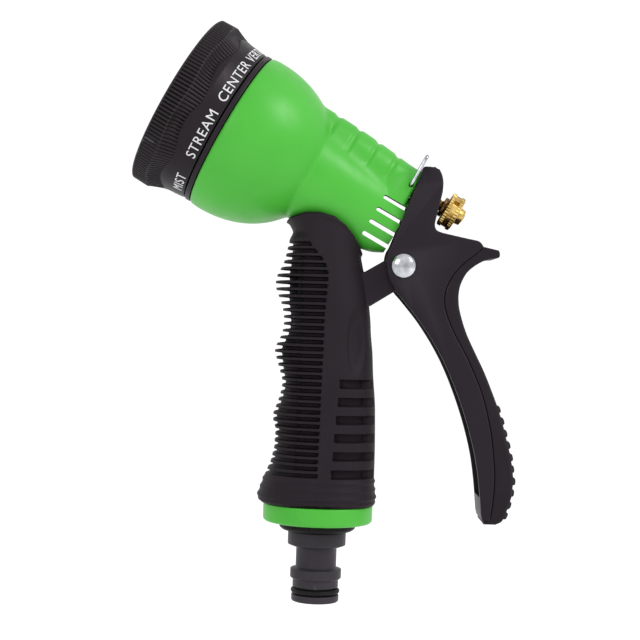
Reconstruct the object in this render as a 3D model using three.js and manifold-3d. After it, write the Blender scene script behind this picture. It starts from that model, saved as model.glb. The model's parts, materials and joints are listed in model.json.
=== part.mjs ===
// Adjustable hose spray nozzle: a pistol body with a rear trigger and a turning pattern head.
// Millimetres. The origin is the centre of the hose nipple's end face, +Z runs up the handle,
// the spray leaves towards -X and the trigger is on the +X side. Y is the width.
import * as THREE from "three";
import { mergeVertices } from "three/addons/utils/BufferGeometryUtils.js";
import Module from "manifold-3d";

const wasm = await Module();
wasm.setup();

// ---------------------------------------------------------------- driving dimensions

const GAP = 0.3; // between pieces that touch
const ROUND = 28; // facets on a large round piece
const FINE = 14; // facets on a small round piece

// The head: its axis X starts at the dial and runs rearwards and down.
const HEAD_ORIGIN = { x: -33.8, z: 155.8 };
const HEAD_TILT = THREE.MathUtils.degToRad(28.6);
const VALVE_Z = 14; // valve and outlet axis above the head axis

// Dial and face.
const DIAL_FRONT = -19.9;
const DIAL_REAR = -1.45;
const RIM_R = 29.9;
const KNURL_R = 30.1;
const BAND_R = 27.9;
const BAND_REAR_R = 27.05;
const DIAL_BORE_R = 24.3;
const PLATE_R = 25.6;
const PLATE_FRONT = -18.4;
const PLATE_REAR = -15.9;
const PATTERN_COUNT = 8;
const DETENT_R = 19.2;
const DETENT_BORE_R = 1.9;
const SCREW_R = 1.4;
const SCREW_HEAD_R = 3.6;

// Front core, the fixed water plate behind the dial.
const CORE_FRONT = -12.6;
const CORE_REAR = -9.8;
const CORE_R = 23.5;
const POST_R = 4.0;
const OUTLET_R = 3.0;
const SEAL_POCKET_R = 5.0;

// Green body.
const BULB_FRONT = 0.95;
const BULB_CENTRE = 4.5;
const BULB_R = 27.7;
const BULB_LENGTH = 31.5;
const BULB_ROWS = 8;
const SHELL_WALL = 2.4;
const BARREL_REAR = 65;
const ROLL_FRONT = 12;
const ROLL_REAR = 61.3;
const EAR_HALF_WIDTH = 8.3;
const CHAMBER_R = 5.4;
const CHAMBER_FRONT = 21;
const SEAT_BORE_R = 3.2;
const SLOT_PITCH = 4.7;
const SLOT_WIDTH = 1.5;
const SLOT_FRONT = 56.2;
const SLOT_TOP = 6.9;
const SLOT_COUNT = 4;

// Valve.
const STEM_R = 1.9;
const STEM_END = 82.2;
const ARM_FACE = 73.8; // front of the thrust collar
const NUT_FRONT = 75.3;
const NUT_REAR = 79.9;
const NUT_R = 5.9;

// Lock clip.
const CLIP_PIVOT = { x: 61.4, z: 14.1 };
const CLIP_TOP = { x: 61.2, z: 24.8 };
const CLIP_HALF_WIDTH = 9.2;
const WIRE_R = 0.6;

// Trigger.
const PIVOT = { x: 25.2, z: 112.1 };
const TRIGGER_HALF_WIDTH = 10;
const CHANNEL_HALF_WIDTH = 8.1;
const BRACKET_HALF_WIDTH = 6.3;
const PIN_R = 2.4;
const RIVET_R = 4.05;

// Handle and inlet.
const HANDLE_CORE_R = 9.5;
const HANDLE_BORE_R = 5;
const FOOT_R = 18.2;
const FOOT_BOTTOM = 26.5;
const FOOT_TOP = 32.5;
const COLLAR_R = 9.65;
const COLLAR_TOP = 23.3;
const GASKET_R = 12.65;
const STUD_R = 8;
const NIPPLE_BORE_R = 4.6;

// ---------------------------------------------------------------- materials

const GREEN = { color: 0x55c63b, roughness: 0.42, metalness: 0 };
const BLACK = { color: 0x2b292b, roughness: 0.55, metalness: 0 };
const SOFT = { color: 0x353236, roughness: 0.75, metalness: 0 };
const RUBBER = { color: 0x1c1b1c, roughness: 0.8, metalness: 0 };
const BRASS = { color: 0xc9a04a, roughness: 0.3, metalness: 1 };
const CHROME = { color: 0xd8dade, roughness: 0.15, metalness: 1 };
const STEEL = { color: 0xa9adb2, roughness: 0.35, metalness: 1 };

// ---------------------------------------------------------------- solids

// A closed manifold solid from a geometry: shared corners merged, slivers dropped, faces outward.
function solid(geometry) {
  const bare = geometry.clone();
  bare.deleteAttribute("normal");
  bare.deleteAttribute("uv");
  const merged = mergeVertices(bare, 1e-4);
  const points = merged.attributes.position;
  const corners = merged.index.array;
  const faces = [];
  let volume = 0;
  const a = new THREE.Vector3();
  const b = new THREE.Vector3();
  const c = new THREE.Vector3();
  for (let i = 0; i < corners.length; i += 3) {
    const [p, q, r] = [corners[i], corners[i + 1], corners[i + 2]];
    if (p === q || q === r || r === p) continue;
    a.fromBufferAttribute(points, p);
    b.fromBufferAttribute(points, q);
    c.fromBufferAttribute(points, r);
    volume += a.dot(b.cross(c));
    faces.push([p, q, r]);
  }
  const wound = volume < 0 ? faces.map(([p, q, r]) => [p, r, q]) : faces;
  return new wasm.Manifold(
    new wasm.Mesh({
      numProp: 3,
      vertProperties: new Float32Array(points.array),
      triVerts: new Uint32Array(wound.flat()),
    }),
  );
}

function join(first, ...others) {
  return others.reduce((sum, other) => sum.add(other), first);
}

function cut(first, ...others) {
  return others.reduce((rest, other) => rest.subtract(other), first);
}

function geometryOf(manifold) {
  const mesh = manifold.getMesh();
  const geometry = new THREE.BufferGeometry();
  geometry.setAttribute("position", new THREE.BufferAttribute(mesh.vertProperties, 3));
  geometry.setIndex(new THREE.BufferAttribute(mesh.triVerts, 1));
  geometry.computeVertexNormals();
  return geometry;
}

function piece(name, manifold, finish) {
  const mesh = new THREE.Mesh(geometryOf(manifold), new THREE.MeshStandardMaterial(finish));
  mesh.name = name;
  return mesh;
}

// A round piece about the head's X axis, or about a line parallel to it. Profile: [x, radius].
function turned(profile, { segments = ROUND, y = 0, z = 0 } = {}) {
  const points = profile.map(([along, radius]) => new THREE.Vector2(radius, along));
  const geometry = new THREE.LatheGeometry(points, segments);
  geometry.rotateZ(-Math.PI / 2);
  geometry.translate(0, y, z);
  return solid(geometry);
}

// A solid rod along X.
function rod(from, to, radius, place = {}) {
  return turned([[from, 0], [from, radius], [to, radius], [to, 0]], { segments: FINE, ...place });
}

// A ring along X.
function ring(from, to, inner, outer, place = {}) {
  const profile = [[from, inner], [from, outer], [to, outer], [to, inner], [from, inner]];
  return turned(profile, { segments: FINE, ...place });
}

// A round piece about the handle's Z axis. Profile: [z, radius].
function upright(profile, segments = ROUND) {
  const points = profile.map(([height, radius]) => new THREE.Vector2(radius, height));
  const geometry = new THREE.LatheGeometry(points, segments);
  geometry.rotateX(Math.PI / 2);
  return solid(geometry);
}

function uprightRing(from, to, inner, outer, segments = ROUND) {
  const profile = [[from, inner], [from, outer], [to, outer], [to, inner], [from, inner]];
  return upright(profile, segments);
}

// A round piece about a line along Y through (x, z). Profile: [y, radius].
function crosswise(profile, { x, z }, segments = FINE) {
  const points = profile.map(([across, radius]) => new THREE.Vector2(radius, across));
  const geometry = new THREE.LatheGeometry(points, segments);
  geometry.translate(x, 0, z);
  return solid(geometry);
}

function crossRod(from, to, radius, centre, segments = FINE) {
  return crosswise([[from, 0], [from, radius], [to, radius], [to, 0]], centre, segments);
}

// A side outline in the XZ plane, extruded across the width from one Y to another.
function slab(shape, from, to, segments = 12) {
  const geometry = new THREE.ExtrudeGeometry(shape, {
    depth: to - from,
    bevelEnabled: false,
    curveSegments: segments,
  });
  geometry.rotateX(Math.PI / 2);
  geometry.translate(0, to, 0);
  return solid(geometry);
}

function outline(points) {
  return new THREE.Shape(points.map(([x, z]) => new THREE.Vector2(x, z)));
}

function block(x0, x1, y0, y1, z0, z1) {
  const geometry = new THREE.BoxGeometry(x1 - x0, y1 - y0, z1 - z0);
  geometry.translate((x0 + x1) / 2, (y0 + y1) / 2, (z0 + z1) / 2);
  return solid(geometry);
}

// Value of a table of [key, value] pairs at a key, on straight lines between them.
function at(table, key) {
  const next = table.findIndex(([k]) => k >= key);
  if (next < 0) return table[table.length - 1][1];
  if (next === 0) return table[0][1];
  const [k0, v0] = table[next - 1];
  const [k1, v1] = table[next];
  return THREE.MathUtils.mapLinear(key, k0, k1, v0, v1);
}

// A tapering solid: rows of rounded sections between two stations. place(along, c, s) gives the
// point for a section's unit directions c and s.
function loft(from, to, rows, squareness, place, segments = 28) {
  const geometry = new THREE.CylinderGeometry(1, 1, 1, segments, rows);
  const position = geometry.attributes.position;
  const squared = (v) => Math.sign(v) * Math.abs(v) ** (2 / squareness);
  for (let i = 0; i < position.count; i++) {
    const along = THREE.MathUtils.mapLinear(position.getY(i), -0.5, 0.5, from, to);
    const point = place(along, squared(position.getX(i)), squared(position.getZ(i)));
    position.setXYZ(i, point.x, point.y, point.z);
  }
  return solid(geometry);
}

class Helix extends THREE.Curve {
  constructor(from, to, radius, turns, z) {
    super();
    Object.assign(this, { from, to, radius, turns, z });
  }

  getPoint(t, target = new THREE.Vector3()) {
    const angle = 2 * Math.PI * this.turns * t;
    return target.set(
      THREE.MathUtils.lerp(this.from, this.to, t),
      this.radius * Math.cos(angle),
      this.z + this.radius * Math.sin(angle),
    );
  }
}

function polygon(radius, sides) {
  const corner = (i) => (2 * Math.PI * (i + 0.5)) / sides;
  const corners = Array.from({ length: sides }, (_, i) => corner(i));
  return new THREE.Shape(
    corners.map((a) => new THREE.Vector2(radius * Math.cos(a), radius * Math.sin(a))),
  );
}

function wire(path, radius, steps, sides = 6) {
  return solid(
    new THREE.ExtrudeGeometry(polygon(radius, sides), { steps, extrudePath: path, bevelEnabled: false }),
  );
}

function spring(from, to, radius, wireRadius, turns, z) {
  return wire(new Helix(from, to, radius, turns, z), wireRadius, turns * 8, 4);
}

function torus(x, ringRadius, tubeRadius, z) {
  const geometry = new THREE.TorusGeometry(ringRadius, tubeRadius, 6, FINE);
  geometry.rotateY(Math.PI / 2);
  geometry.translate(x, 0, z);
  return solid(geometry);
}

// ---------------------------------------------------------------- head placement

const headMatrix = new THREE.Matrix4()
  .makeTranslation(HEAD_ORIGIN.x, 0, HEAD_ORIGIN.z)
  .multiply(new THREE.Matrix4().makeRotationY(HEAD_TILT));

function placed(manifold) {
  const geometry = geometryOf(manifold);
  geometry.applyMatrix4(headMatrix);
  return solid(geometry);
}

const onValve = { z: VALVE_Z };

// ---------------------------------------------------------------- pattern dial

// Turning ring: knurled cone, waist and legend band, with a flange that holds the face plate.
function selectorDial() {
  return turned(
    [
      [DIAL_FRONT, RIM_R - 1.7],
      [DIAL_FRONT, RIM_R - 0.6],
      [DIAL_FRONT + 0.5, RIM_R],
      [-13.9, KNURL_R],
      [-9.75, BAND_R],
      [DIAL_REAR, BAND_REAR_R],
      [DIAL_REAR, DIAL_BORE_R],
      [-13.1, DIAL_BORE_R],
      [-13.1, 21.5],
      [PLATE_REAR + GAP, 21.5],
      [PLATE_REAR + GAP, PLATE_R + GAP],
      [DIAL_FRONT + 0.8, PLATE_R + 0.6],
      [DIAL_FRONT, RIM_R - 1.7],
    ],
    { segments: 48 },
  );
}

// Centre of a pattern window, turned from the outlet at the top of the face.
function windowCentre(index) {
  const angle = (2 * Math.PI * index) / PATTERN_COUNT;
  return { y: -VALVE_Z * Math.sin(angle), z: VALVE_Z * Math.cos(angle), angle };
}

function holeRing(count, radius, holeRadius, centre) {
  const holes = [];
  for (let i = 0; i < count; i++) {
    const a = (2 * Math.PI * i) / count;
    const place = { y: centre.y + radius * Math.cos(a), z: centre.z + radius * Math.sin(a), segments: 6 };
    holes.push(rod(PLATE_FRONT - 1, PLATE_REAR + 1, holeRadius, place));
  }
  return holes;
}

// The fan slot, a bar through the plate turned square to the radius.
function slit(centre, length, width) {
  const geometry = new THREE.BoxGeometry(4, length, width);
  geometry.rotateX(centre.angle);
  geometry.translate((PLATE_FRONT + PLATE_REAR) / 2, centre.y, centre.z);
  return solid(geometry);
}

function roundWindow(centre, radius) {
  return rod(PLATE_FRONT - 1, PLATE_REAR + 1, radius, { ...centre, segments: 12 });
}

// Face plate: eight spray windows, detent dimples on its back and a sunk centre for the screw.
function patternPlate() {
  const disc = turned(
    [
      [PLATE_FRONT, 7],
      [PLATE_FRONT, PLATE_R],
      [PLATE_REAR, PLATE_R],
      [PLATE_REAR, POST_R + GAP],
      [-16.9, POST_R + GAP],
      [-16.9, 7],
      [PLATE_FRONT, 7],
    ],
    { segments: ROUND },
  );
  const [fan, centre, stream, mist, shower, cone, flat, soaker] = Array.from(
    { length: PATTERN_COUNT },
    (_, i) => windowCentre(i),
  );
  const windows = [
    slit(fan, 1.1, 5.6),
    ...holeRing(6, 2.6, 0.5, centre),
    roundWindow(centre, 1.1),
    roundWindow(stream, 1.7),
    roundWindow(mist, 2.9),
    ...holeRing(7, 2.3, 0.5, shower),
    roundWindow(shower, 0.5),
    roundWindow(cone, 2.9),
    slit(flat, 5.6, 1.1),
    ...holeRing(5, 1.9, 0.75, soaker),
  ];
  const dimples = [];
  for (let i = 0; i < PATTERN_COUNT; i++) {
    const { angle } = windowCentre(i);
    const dimple = new THREE.SphereGeometry(1.7, 6, 5);
    dimple.translate(PLATE_REAR + 0.9, DETENT_R * Math.sin(angle), -DETENT_R * Math.cos(angle));
    dimples.push(solid(dimple));
  }
  return cut(disc, ...windows, ...dimples);
}

// A plug with a centre hole, set in its window to swirl the water.
function swirlInsert(index, holeRadius) {
  const centre = windowCentre(index);
  return ring(PLATE_FRONT + 0.4, PLATE_REAR - 0.2, holeRadius, 2.9 - GAP, { ...centre, segments: 12 });
}

// ---------------------------------------------------------------- front core

function frontCore() {
  const plate = turned(
    [
      [CORE_FRONT, 0],
      [CORE_FRONT, CORE_R],
      [4.5, CORE_R],
      [4.5, CORE_R - 2],
      [CORE_REAR, CORE_R - 2],
      [CORE_REAR, 0],
    ],
    { segments: ROUND },
  );
  const bosses = [
    rod(CORE_FRONT + 1, -4.5, 6.6, onValve),
    rod(CORE_FRONT + 1.2, 17.6, 4.6, onValve),
    rod(CORE_FRONT + 1, -3.9, 3.2, { z: -DETENT_R }),
    rod(-16.6, -3, POST_R),
  ];
  return cut(
    join(plate, ...bosses),
    rod(CORE_FRONT - 1, -5.5, SEAL_POCKET_R, onValve),
    rod(-6, 18.6, OUTLET_R, onValve),
    rod(CORE_FRONT - 1, -4.8, DETENT_BORE_R, { z: -DETENT_R }),
    rod(-18, -4.5, SCREW_R + GAP),
  );
}

// Black lip between the dial's band and the green bulb.
function dialBaseRing() {
  return ring(DIAL_REAR + GAP + 0.1, BULB_FRONT - GAP, CORE_R + 0.5, 27.3, { segments: 48 });
}

function outletSeal() {
  return ring(PLATE_REAR + GAP, -10.8, 2.6, SEAL_POCKET_R - 0.4, onValve);
}

function detentPlunger() {
  const tip = PLATE_REAR + 0.15;
  const radius = DETENT_BORE_R - GAP;
  const nose = [[tip, 0], [tip + 0.25, radius / 2], [tip + 0.9, radius - 0.3], [tip + 1.1, radius]];
  return turned([...nose, [-9.6, radius], [-9.6, 0]], { segments: 12, z: -DETENT_R });
}

function dialScrew() {
  const dome = [[-19.5, 0], [-19.3, 2.2], [-18.7, 3.5], [-18.3, SCREW_HEAD_R], [-18.3, 0]];
  const head = turned(dome, { segments: FINE });
  const shank = rod(-18.5, -5.5, SCREW_R);
  const cross = [block(-20, -18.9, -0.4, 0.4, -2, 2), block(-20, -18.9, -2, 2, -0.4, 0.4)];
  return cut(join(head, shank), ...cross);
}

// ---------------------------------------------------------------- green body

// Bulb radius at a station along the head axis, on an ellipse behind its widest point.
function bulbRadius(x, grow) {
  const along = Math.max(0, x - BULB_CENTRE) / (BULB_LENGTH + grow);
  return (BULB_R + grow) * Math.sqrt(Math.max(0, 1 - along * along));
}

function bulb(grow, front) {
  const profile = [[front, 0], [front, BULB_R + grow - 0.25]];
  const end = BULB_CENTRE + BULB_LENGTH + grow;
  for (let i = 0; i <= BULB_ROWS; i++) {
    const x = BULB_CENTRE + (end - BULB_CENTRE) * Math.sin((i / BULB_ROWS) * (Math.PI / 2));
    profile.push([x, i === BULB_ROWS ? 0 : bulbRadius(x, grow)]);
  }
  return turned(profile, { segments: 36 });
}

const BARREL_HALF_HEIGHT = [[20, 17.6], [30, 16], [45, 13.8], [56, 12.2], [61, 11.2], [65, 8.5]];
const BARREL_HALF_WIDTH = [[20, 17.2], [30, 15.6], [45, 12.6], [56, 9.4], [61, 7.8], [65, 7.5]];

function barrel(from, to, grow) {
  const place = (x, c, s) => ({
    x,
    y: (at(BARREL_HALF_WIDTH, x) + grow) * c,
    z: (at(BARREL_HALF_HEIGHT, x) + grow) * s,
  });
  return loft(from, to, 6, 2.2, place, 26);
}

// The ribbed valve housing along the barrel's top: [x, radius] about the valve axis.
const ROLL_OUTLINE = [
  [ROLL_FRONT, 7.2], [22.5, 7.6], [23.5, 8.5], [27.3, 8.6], [29.4, 7.9], [31.2, 8.4], [35.8, 8.3], [37.6, 7.6],
  [38.9, 8.1], [43.6, 7.9], [45.3, 7.3], [46.4, 7.8], [50.6, 7.6], [53.2, 6.9], [54.4, 7.4], [58.9, 7.2],
  [ROLL_REAR - 0.5, 6.7], [ROLL_REAR, 6.4],
];

function roll() {
  return turned([[ROLL_FRONT, 0], ...ROLL_OUTLINE, [ROLL_REAR, 0]], { segments: 20, z: VALVE_Z });
}

// Slots through both walls of the barrel's open rear skirt, round at the front end.
function skirtSlots() {
  const slots = [];
  for (let i = 0; i < SLOT_COUNT; i++) {
    const z = SLOT_TOP - i * SLOT_PITCH;
    const shape = new THREE.Shape();
    shape.moveTo(BARREL_REAR + 2, z - SLOT_WIDTH / 2);
    shape.lineTo(BARREL_REAR + 2, z + SLOT_WIDTH / 2);
    shape.lineTo(SLOT_FRONT, z + SLOT_WIDTH / 2);
    shape.absarc(SLOT_FRONT, z, SLOT_WIDTH / 2, Math.PI / 2, (3 * Math.PI) / 2, false);
    slots.push(slab(shape, -20, 20, 6));
  }
  return slots;
}

function bodyShell() {
  const shell = cut(bulb(0, BULB_FRONT), bulb(-SHELL_WALL, BULB_FRONT - 5));
  const lip = cut(
    turned([[BULB_FRONT, 0], [BULB_FRONT, BULB_R - 1], [6, BULB_R - 1], [6, 0]]),
    turned([[BULB_FRONT - 1, 0], [BULB_FRONT - 1, CORE_R + 0.4], [7, CORE_R + 0.4], [7, 0]]),
  );
  const skirt = cut(barrel(26, BARREL_REAR, 0), barrel(50, BARREL_REAR + 1, -1.7), ...skirtSlots());
  const ears = block(57.5, 62.9, -EAR_HALF_WIDTH, EAR_HALF_WIDTH, 11.4, 16.8);
  const tube = join(roll(), ears);
  const head = placed(join(shell, lip, skirt, tube));
  const handle = upright([
    [FOOT_BOTTOM, 0],
    [FOOT_BOTTOM, FOOT_R - 0.8],
    [FOOT_BOTTOM + 0.8, FOOT_R],
    [FOOT_TOP, FOOT_R],
    [FOOT_TOP, HANDLE_CORE_R],
    [132, HANDLE_CORE_R],
    [132, 0],
  ]);
  const bores = placed(
    join(
      rod(CHAMBER_FRONT, 70, CHAMBER_R, onValve),
      rod(17, CHAMBER_FRONT + 1, SEAT_BORE_R, onValve),
      rod(ROLL_FRONT - 1, 18, 4.9, onValve),
    ),
  );
  const clipHoles = placed(
    join(crossRod(-9, -6.6, WIRE_R + 0.25, CLIP_PIVOT, 8), crossRod(6.6, 9, WIRE_R + 0.25, CLIP_PIVOT, 8)),
  );
  const riser = upright([
    [FOOT_BOTTOM - 1, 0],
    [FOOT_BOTTOM - 1, 13],
    [FOOT_BOTTOM + 0.7, 13],
    [FOOT_BOTTOM + 0.7, STUD_R + GAP],
    [37.3, STUD_R + GAP],
    [37.3, HANDLE_BORE_R],
    [152, HANDLE_BORE_R],
    [152, 0],
  ]);
  return cut(join(head, handle), bores, clipHoles, riser);
}

// ---------------------------------------------------------------- valve

function valveSeat() {
  return ring(CHAMBER_FRONT + GAP, 23, SEAT_BORE_R, CHAMBER_R - GAP, onValve);
}

function valveStem() {
  return turned(
    [
      [21.7, 0],
      [21.7, 2.6],
      [23.0, 2.6],
      [23.0, STEM_R],
      [STEM_END - 0.5, STEM_R],
      [STEM_END, STEM_R - 0.5],
      [STEM_END, 0],
    ],
    { segments: FINE, z: VALVE_Z },
  );
}

function thrustCollar() {
  return ring(ARM_FACE, NUT_FRONT - GAP, STEM_R + GAP, 3.4, onValve);
}

function flowNut() {
  const groove = 0.35;
  return turned(
    [
      [NUT_FRONT, STEM_R + GAP],
      [NUT_FRONT, NUT_R - 0.5],
      [NUT_FRONT + 0.4, NUT_R],
      [NUT_FRONT + 1.6, NUT_R],
      [NUT_FRONT + 1.7, NUT_R - groove],
      [NUT_REAR - 1.7, NUT_R - groove],
      [NUT_REAR - 1.6, NUT_R],
      [NUT_REAR - 0.4, NUT_R],
      [NUT_REAR, NUT_R - 0.5],
      [NUT_REAR, 2.9],
      [NUT_REAR + 1.9, 2.7],
      [NUT_REAR + 1.9, STEM_R + GAP],
      [NUT_FRONT, STEM_R + GAP],
    ],
    { segments: 20, z: VALVE_Z },
  );
}

// ---------------------------------------------------------------- lock clip

// Wire bail: feet turned into the ears, two legs and a crossbar over the trigger's top.
function lockClip() {
  const foot = 6.9;
  const corner = 1.3;
  const { x: footX, z: footZ } = CLIP_PIVOT;
  const { x: topX, z: topZ } = CLIP_TOP;
  const path = new THREE.CurvePath();
  const v = (x, y, z) => new THREE.Vector3(x, y, z);
  const side = CLIP_HALF_WIDTH;
  const marks = [
    v(footX, -foot, footZ),
    v(footX, -side, footZ),
    v(topX, -side, topZ),
    v(topX, side, topZ),
    v(footX, side, footZ),
    v(footX, foot, footZ),
  ];
  let start = marks[0];
  for (let i = 1; i < marks.length - 1; i++) {
    const before = marks[i].clone().sub(marks[i - 1]).normalize().multiplyScalar(-corner).add(marks[i]);
    const after = marks[i + 1].clone().sub(marks[i]).normalize().multiplyScalar(corner).add(marks[i]);
    path.add(new THREE.LineCurve3(start, before));
    path.add(new THREE.QuadraticBezierCurve3(before, marks[i], after));
    start = after;
  }
  path.add(new THREE.LineCurve3(start, marks[marks.length - 1]));
  return wire(path, WIRE_R, 44, 6);
}

// ---------------------------------------------------------------- trigger

const LEVER_FRONT = [
  [21, 118.8], [19.8, 116.3], [19.5, 113], [20.5, 108], [23.1, 103.6], [25.6, 100.8], [31, 94.4],
  [35.5, 88], [39.3, 81.6], [42.4, 75.2], [45.1, 68.7], [47.4, 62.3], [49.4, 55.8], [51, 49.3], [52.1, 42.8],
  [52.9, 36.3], [53.4, 31.5], [53.9, 29.6],
];
const PAD_LINE = [
  [56.3, 29.8], [57.1, 36], [57.4, 44], [56.6, 52.6], [55.2, 60.9], [52.2, 71.5], [47.2, 82.5], [42.4, 91],
  [39.6, 97.7], [39, 102], [39.8, 106], [41.8, 110], [45.2, 113.8], [49, 117], [51.2, 119.2],
];
const PAD_BACK = [
  [56.2, 118.2], [56.6, 117.2], [56.2, 115.8], [53.2, 115.3], [50, 113.8], [47.3, 111.8], [45.6, 109.8],
  [44.2, 106.7], [43.7, 104], [43.7, 101.2], [44.3, 97.6], [46.4, 91.2], [49.5, 84.8], [52.8, 78.4],
  [55.6, 72], [58.6, 66], [60.5, 61], [61.7, 57], [62.7, 53.3], [63.7, 48.8], [64.4, 44], [64.2, 40], [63.9, 37.7],
  [63.2, 35.4], [62.3, 33], [61.3, 31], [60.2, 29.4], [58.2, 28.5], [54.3, 28.5],
];
const ARM_OUTLINE = [
  [50, 121], [45.1, 121.9], [37.4, 123.4], [35.5, 124.1], [34.9, 125.9], [37.3, 136.9], [37.4, 140.1],
  [37.1, 142.2], [36.4, 143.9], [34.9, 145], [32.2, 145.1], [31.2, 143.6],
];

function leverShape(dx = 0, dz = 0) {
  return outline([...LEVER_FRONT, ...PAD_LINE, ...ARM_OUTLINE].map(([x, z]) => [x + dx, z + dz]));
}

// Moulded lever: two cheeks and a back wall, open towards the handle, with cross ribs below.
function triggerLever() {
  const wall = 2.5;
  const full = slab(leverShape(), -TRIGGER_HALF_WIDTH, TRIGGER_HALF_WIDTH);
  const room = slab(leverShape(-wall, -1.6), -CHANNEL_HALF_WIDTH, CHANNEL_HALF_WIDTH);
  const channel = cut(room, block(-20, 90, -20, 20, 10, 32));
  const ribs = [];
  for (const [x, z] of [[52.5, 50], [49, 63], [43.5, 76], [36.5, 89]]) {
    const rib = new THREE.BoxGeometry(14, 2 * CHANNEL_HALF_WIDTH + 1, 1.3);
    rib.rotateY(THREE.MathUtils.degToRad(-25));
    rib.translate(x, 0, z);
    ribs.push(solid(rib).intersect(full));
  }
  const bosses = [
    crossRod(-9, -BRACKET_HALF_WIDTH - GAP, 5, PIVOT),
    crossRod(BRACKET_HALF_WIDTH + GAP, 9, 5, PIVOT),
  ];
  const stemSlot = placed(block(60, 80, -2.4, 2.4, VALVE_Z - 3.3, VALVE_Z + 3));
  return cut(join(cut(full, channel), ...ribs, ...bosses), crossRod(-12, 12, PIN_R + GAP, PIVOT), stemSlot);
}

// Soft pad on the lever's back, from the thumb beak down to the tip.
function palmPad() {
  const line = PAD_LINE.map(([x, z]) => [x + GAP, z]);
  return slab(outline([[54.3, 28.5], [54.4, 29.2], ...line, ...PAD_BACK.slice(0, -1)]), -9.8, 9.8);
}

function triggerBracket() {
  const shape = new THREE.Shape();
  const reach = 5.5;
  shape.moveTo(10.3, 98.6);
  shape.lineTo(15, 98.6);
  shape.lineTo(23.6, 104.2);
  shape.absarc(PIVOT.x, PIVOT.z, reach, -1.3, 2.1, false);
  shape.lineTo(19.5, 114);
  shape.lineTo(12.8, 109.9);
  shape.lineTo(10.3, 109);
  const tongue = slab(shape, -BRACKET_HALF_WIDTH, BRACKET_HALF_WIDTH);
  const band = uprightRing(98.6, 109, HANDLE_CORE_R + GAP, 11.8);
  const clear = upright([[90, 0], [90, HANDLE_CORE_R + GAP], [125, HANDLE_CORE_R + GAP], [125, 0]]);
  return cut(join(band, tongue), clear, crossRod(-12, 12, PIN_R + GAP, PIVOT));
}

function pivotPin() {
  const y = TRIGGER_HALF_WIDTH + GAP;
  const profile = [
    [-y - 1.9, 0],
    [-y - 1.75, 1.5],
    [-y - 1.2, 2.9],
    [-y - 0.4, 3.9],
    [-y, RIVET_R],
    [-y, PIN_R],
    [y + 1.9, PIN_R],
    [y + 2.5, PIN_R - 0.6],
    [y + 2.5, 0],
  ];
  return crosswise(profile, PIVOT, 16);
}

function rivetWasher() {
  const y = TRIGGER_HALF_WIDTH + GAP;
  const inner = PIN_R + GAP;
  const outside = [[y, RIVET_R], [y + 0.9, RIVET_R], [y + 1.5, 3.4]];
  return crosswise([[y, inner], ...outside, [y + 1.5, inner], [y, inner]], PIVOT, 16);
}

// ---------------------------------------------------------------- handle and inlet

const GRIP_FRONT = [
  [32.7, -18.9], [34.6, -20.1], [38, -19.3], [43.4, -17.4], [46.1, -16.2], [51.4, -15.1], [56.8, -14.9],
  [60.8, -15.9], [64.8, -14.9], [70, -13.4], [73, -13.3], [78, -14.7], [83, -15.9], [86.2, -13.8], [90, -13],
  [95, -13.2], [100, -14.8], [104.7, -16.2], [108, -15.7], [112, -13.8], [118, -12.4], [122.3, -11.4],
  [125.7, -13.6], [130, -13.6],
];
const GRIP_REAR = [
  [32.7, 18.5], [35, 18.9], [40.7, 18.4], [51.4, 18.3], [62, 18], [67.5, 17.7], [75.5, 16.9], [83, 16.4],
  [88.9, 15.7], [95, 15.2], [99, 15.6], [106, 14], [112.3, 12], [116.6, 11.4], [130, 11.4],
];
const GRIP_HALF_WIDTH = [
  [32.7, 17], [36, 17.2], [45, 15.4], [60, 14.6], [85, 13.8], [105, 13.6], [120, 14.2], [130, 15],
];
const GRIP_TOP = [
  [-40, 20], [40, 20], [40, 99], [16.2, 99], [11.4, 116.6], [10, 119.5], [8.2, 122.3], [5.8, 125],
  [2.4, 127.3],
  [-2.7, 128.5], [-7.7, 128.4], [-12.2, 127.4], [-14, 125.7], [-40, 125.7],
];

function gripSleeve() {
  const place = (z, c, s) => {
    const front = at(GRIP_FRONT, z);
    const rear = at(GRIP_REAR, z);
    return { x: (front + rear) / 2 + ((rear - front) / 2) * c, y: at(GRIP_HALF_WIDTH, z) * s, z };
  };
  const form = loft(FOOT_TOP + GAP, 130, 22, 2.3, place, 24).intersect(slab(outline(GRIP_TOP), -30, 30));
  const bore = upright([[20, 0], [20, HANDLE_CORE_R + GAP], [140, HANDLE_CORE_R + GAP], [140, 0]]);
  const band = upright([[98.3, 0], [98.3, 12.1], [109.3, 12.1], [109.3, 0]]);
  const tongue = block(6, 30, -BRACKET_HALF_WIDTH - GAP, BRACKET_HALF_WIDTH + GAP, 98.3, 116.9);
  const headRoom = placed(join(barrel(20, 66, GAP), bulb(GAP, 0)));
  return cut(form, bore, band, tongue, headRoom);
}

// Quick-connect nipple: collar, latch groove, latch flange and sealing end, with a stud on top.
function inletNipple() {
  return upright([
    [0, NIPPLE_BORE_R],
    [0, 7.5],
    [0.5, 7.9],
    [2.3, 7.9],
    [2.3, 6.2],
    [4.8, 6.2],
    [4.8, 7.6],
    [7.3, 7.6],
    [7.9, 8.5],
    [10.8, 8.5],
    [11.4, 6.75],
    [17.9, 6.75],
    [18.9, COLLAR_R],
    [COLLAR_TOP, COLLAR_R],
    [COLLAR_TOP, STUD_R],
    [33.5, STUD_R],
    [33.5, 6],
    [24, 6],
    [22, NIPPLE_BORE_R],
    [0, NIPPLE_BORE_R],
  ]);
}

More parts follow.
